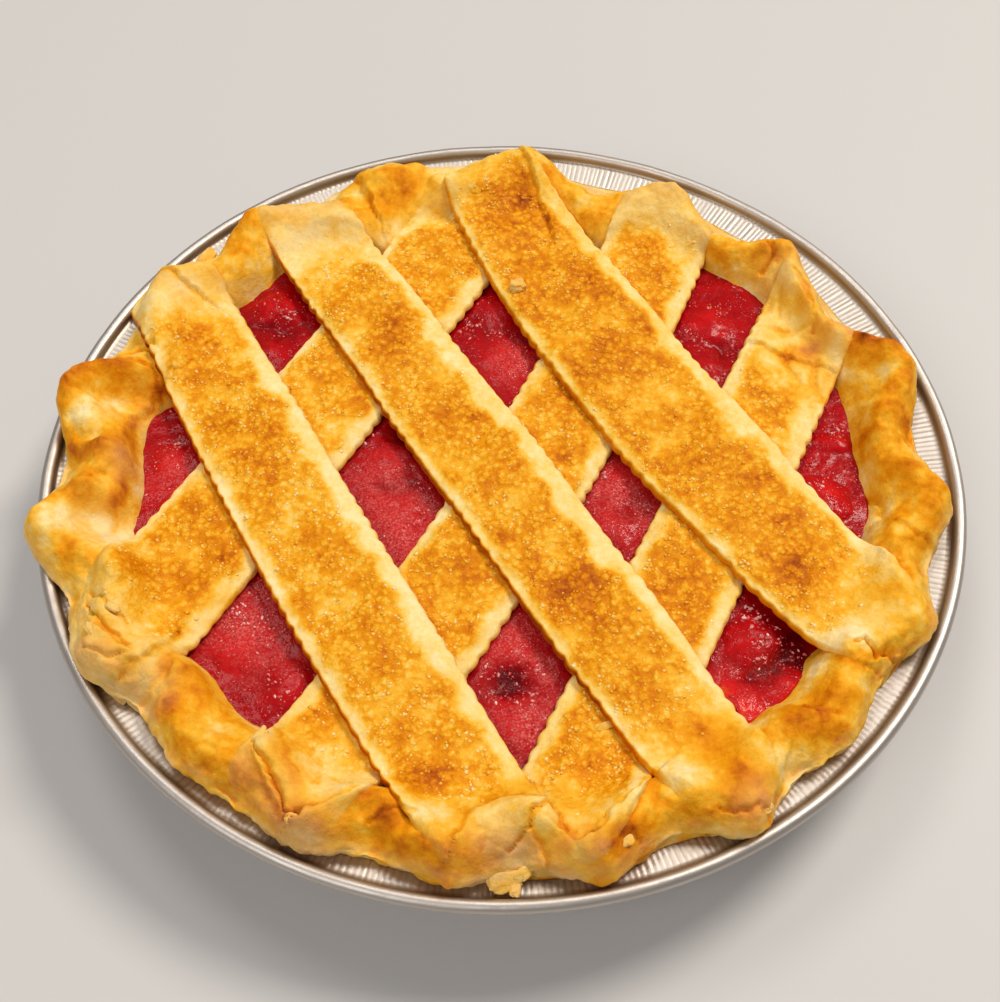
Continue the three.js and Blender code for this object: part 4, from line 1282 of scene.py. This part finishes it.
def make_sugar(fields):
    """Crystals melted into the crust of the strips, each near the colour of the dough round it."""
    rng = np.random.RandomState(11)
    places = np.concatenate([upper[:-1, :-1].reshape(-1, 3) for upper, _, _ in fields])
    weights = np.concatenate([sugared[:-1, :-1].ravel() ** 2 for _, sugared, _ in fields])
    tones = np.concatenate([tone[:-1, :-1].ravel() for _, _, tone in fields])
    weights = weights * clip(0.5 + 1.2 * plan_noise(places[:, 0], places[:, 1], 6, 131, 3), 0.03, 2)
    chosen = chosen_places(rng, weights, SUGAR_CRYSTALS)
    centres = places[chosen] + np.column_stack([rng.uniform(-0.3, 0.3, (SUGAR_CRYSTALS, 2)),
                                                np.full(SUGAR_CRYSTALS, -SUGAR_SINK)])
    sizes = rng.uniform(*SUGAR_SIZES, (SUGAR_CRYSTALS, 1, 3)) * rng.uniform(0.6, 1.1, (SUGAR_CRYSTALS, 1, 1))
    corners = np.einsum("nij,nkj->nki", random_turns(SUGAR_CRYSTALS, rng), CUBE[None] * sizes)
    points = (corners + centres[:, None]).reshape(-1, 3)
    faces = (CUBE_FACES + len(CUBE) * np.arange(SUGAR_CRYSTALS)[:, None, None]).reshape(-1, 4)
    shade = np.repeat(clip(tones[chosen] + rng.uniform(-0.35, -0.06, SUGAR_CRYSTALS), 0, 0.6), len(CUBE))
    make_piece("coarse_sugar", points, [faces], sugar_material(),
               attributes={"shade": shade})


# Scraps of dough: x, y, half sizes, turn in the plan, tilt, rise of the middle above what carries it
SCRAPS = [
    (5, 57.4, (2.3, 2.1, 1.6), 0, 0, 3.9), (-88, 72, (4.0, 1.7, 1.3), 60, 20, 0.6),
    (0.5, -115.3, (3.8, 2.4, 0.7), 10, 30, 0.6), (4.5, -113.6, (2.6, 1.4, 0.7), 35, 30, 0.9),
    (2.6, -117, (1.7, 1.2, 0.6), 80, 15, 0.1), (26, -109, (2.0, 1.3, 0.5), 20, 5, 0.1),
    (24, -79, (2.6, 0.9, 0.5), 15, 5, 0.3), (-46, -104, (1.6, 1.2, 0.7), 0, 0, 0.3),
    (-55, -84, (2.2, 1.2, 0.7), 60, 0, 0.3), (58, -101, (1.8, 1.2, 0.8), 30, 10, 0.3),
    (-97, -58, (2.6, 1.1, 0.6), 130, 10, 0.4), (-93, -52, (2.0, 1.0, 0.5), 150, 10, 0.3),
]


def make_scraps(carried):
    """Small torn bits of dough, each a lumpy closed form."""
    points = []
    form = ball(SCRAP_TURNS, SCRAP_RINGS)
    square = np.abs(form) ** 0.75 * np.sign(form)
    for index, (x, y, half, turn, tilt, rise) in enumerate(SCRAPS):
        lumps = 1 + 0.32 * noise(form, 0.9, 141 + index) + 0.16 * noise(form, 0.4, 161 + index)
        turns = Matrix.Rotation(math.radians(turn), 3, "Z") @ Matrix.Rotation(math.radians(tilt), 3, "X")
        scrap = (square * lumps[:, None] * np.array(half)) @ np.array(turns).T
        ground = max(sampled(carried, np.array([x]), np.array([y]))[0], RIM_LEVEL + 1)
        points.append(scrap + (x, y, ground + rise))
    points = np.concatenate(points)
    faces = closed_faces(SCRAP_TURNS, SCRAP_RINGS, len(form) * np.arange(len(SCRAPS)))
    tone = 0.28 + 0.16 * noise(points, 3, 181)
    torn = clip(0.5 + 0.5 * noise(points, 4, 182))
    make_piece("dough_scraps", points, faces, crust_dough,
               attributes={"bake": tone, "sugar": 0 * tone, "torn": torn})


# ---- Everything in place ----

make_crust()
fields = []
for index, (strip, look) in enumerate(zip(LOWER_STRIPS, LOWER_LOOKS)):
    fields.append(make_strip(f"lower_strip_{index + 1}", strip, lower_rest, rim_rest, look, index))
for index, (strip, look) in enumerate(zip(UPPER_STRIPS, UPPER_LOOKS)):
    fields.append(make_strip(f"upper_strip_{index + 1}", strip, upper_rest, upper_carried, look, index + 3))
make_filling()
make_bubbles_and_glints()
make_tin()
make_sugar(fields)
make_scraps(below)

# ---- Floor, light and camera ----

def floor_material():
    material = material_named("pale_floor")
    principled(material, Base_Color=(0.62, 0.6, 0.585, 1), Roughness=0.55)
    return material


def make_floor():
    bpy.ops.mesh.primitive_plane_add(size=FLOOR_SIZE)
    floor = bpy.context.object
    floor.name = "floor"
    floor.data.materials.append(floor_material())


def add_light(name, place, size, power, colour):
    light = bpy.data.lights.new(name, "AREA")
    light.shape = "DISK"
    light.size = size
    light.energy = power
    light.color = colour
    lamp = bpy.data.objects.new(name, light)
    lamp.location = place
    lamp.rotation_euler = (Vector(LAMP_TARGET) - Vector(place)).to_track_quat("-Z", "Y").to_euler()
    bpy.context.collection.objects.link(lamp)


def make_camera():
    camera = bpy.data.objects.new("camera", bpy.data.cameras.new("camera"))
    camera.data.lens = CAMERA_LENS
    camera.data.clip_start = 0.02
    place, target = Vector(CAMERA_PLACE) * MM, Vector(CAMERA_TARGET) * MM
    aim = (target - place).to_track_quat("-Z", "Y").to_matrix().to_4x4()
    camera.matrix_world = Matrix.Translation(place) @ aim @ Matrix.Rotation(CAMERA_ROLL, 4, "Z")
    bpy.context.collection.objects.link(camera)
    bpy.context.scene.camera = camera


def make_sky():
    world = bpy.data.worlds.new("studio")
    world.use_nodes = True
    background = world.node_tree.nodes["Background"]
    background.inputs["Color"].default_value = SKY_COLOUR
    background.inputs["Strength"].default_value = SKY_STRENGTH
    bpy.context.scene.world = world


make_floor()
for lamp in LAMPS:
    add_light(*lamp)
make_sky()
bpy.context.scene.view_settings.view_transform = "Standard"
make_camera()
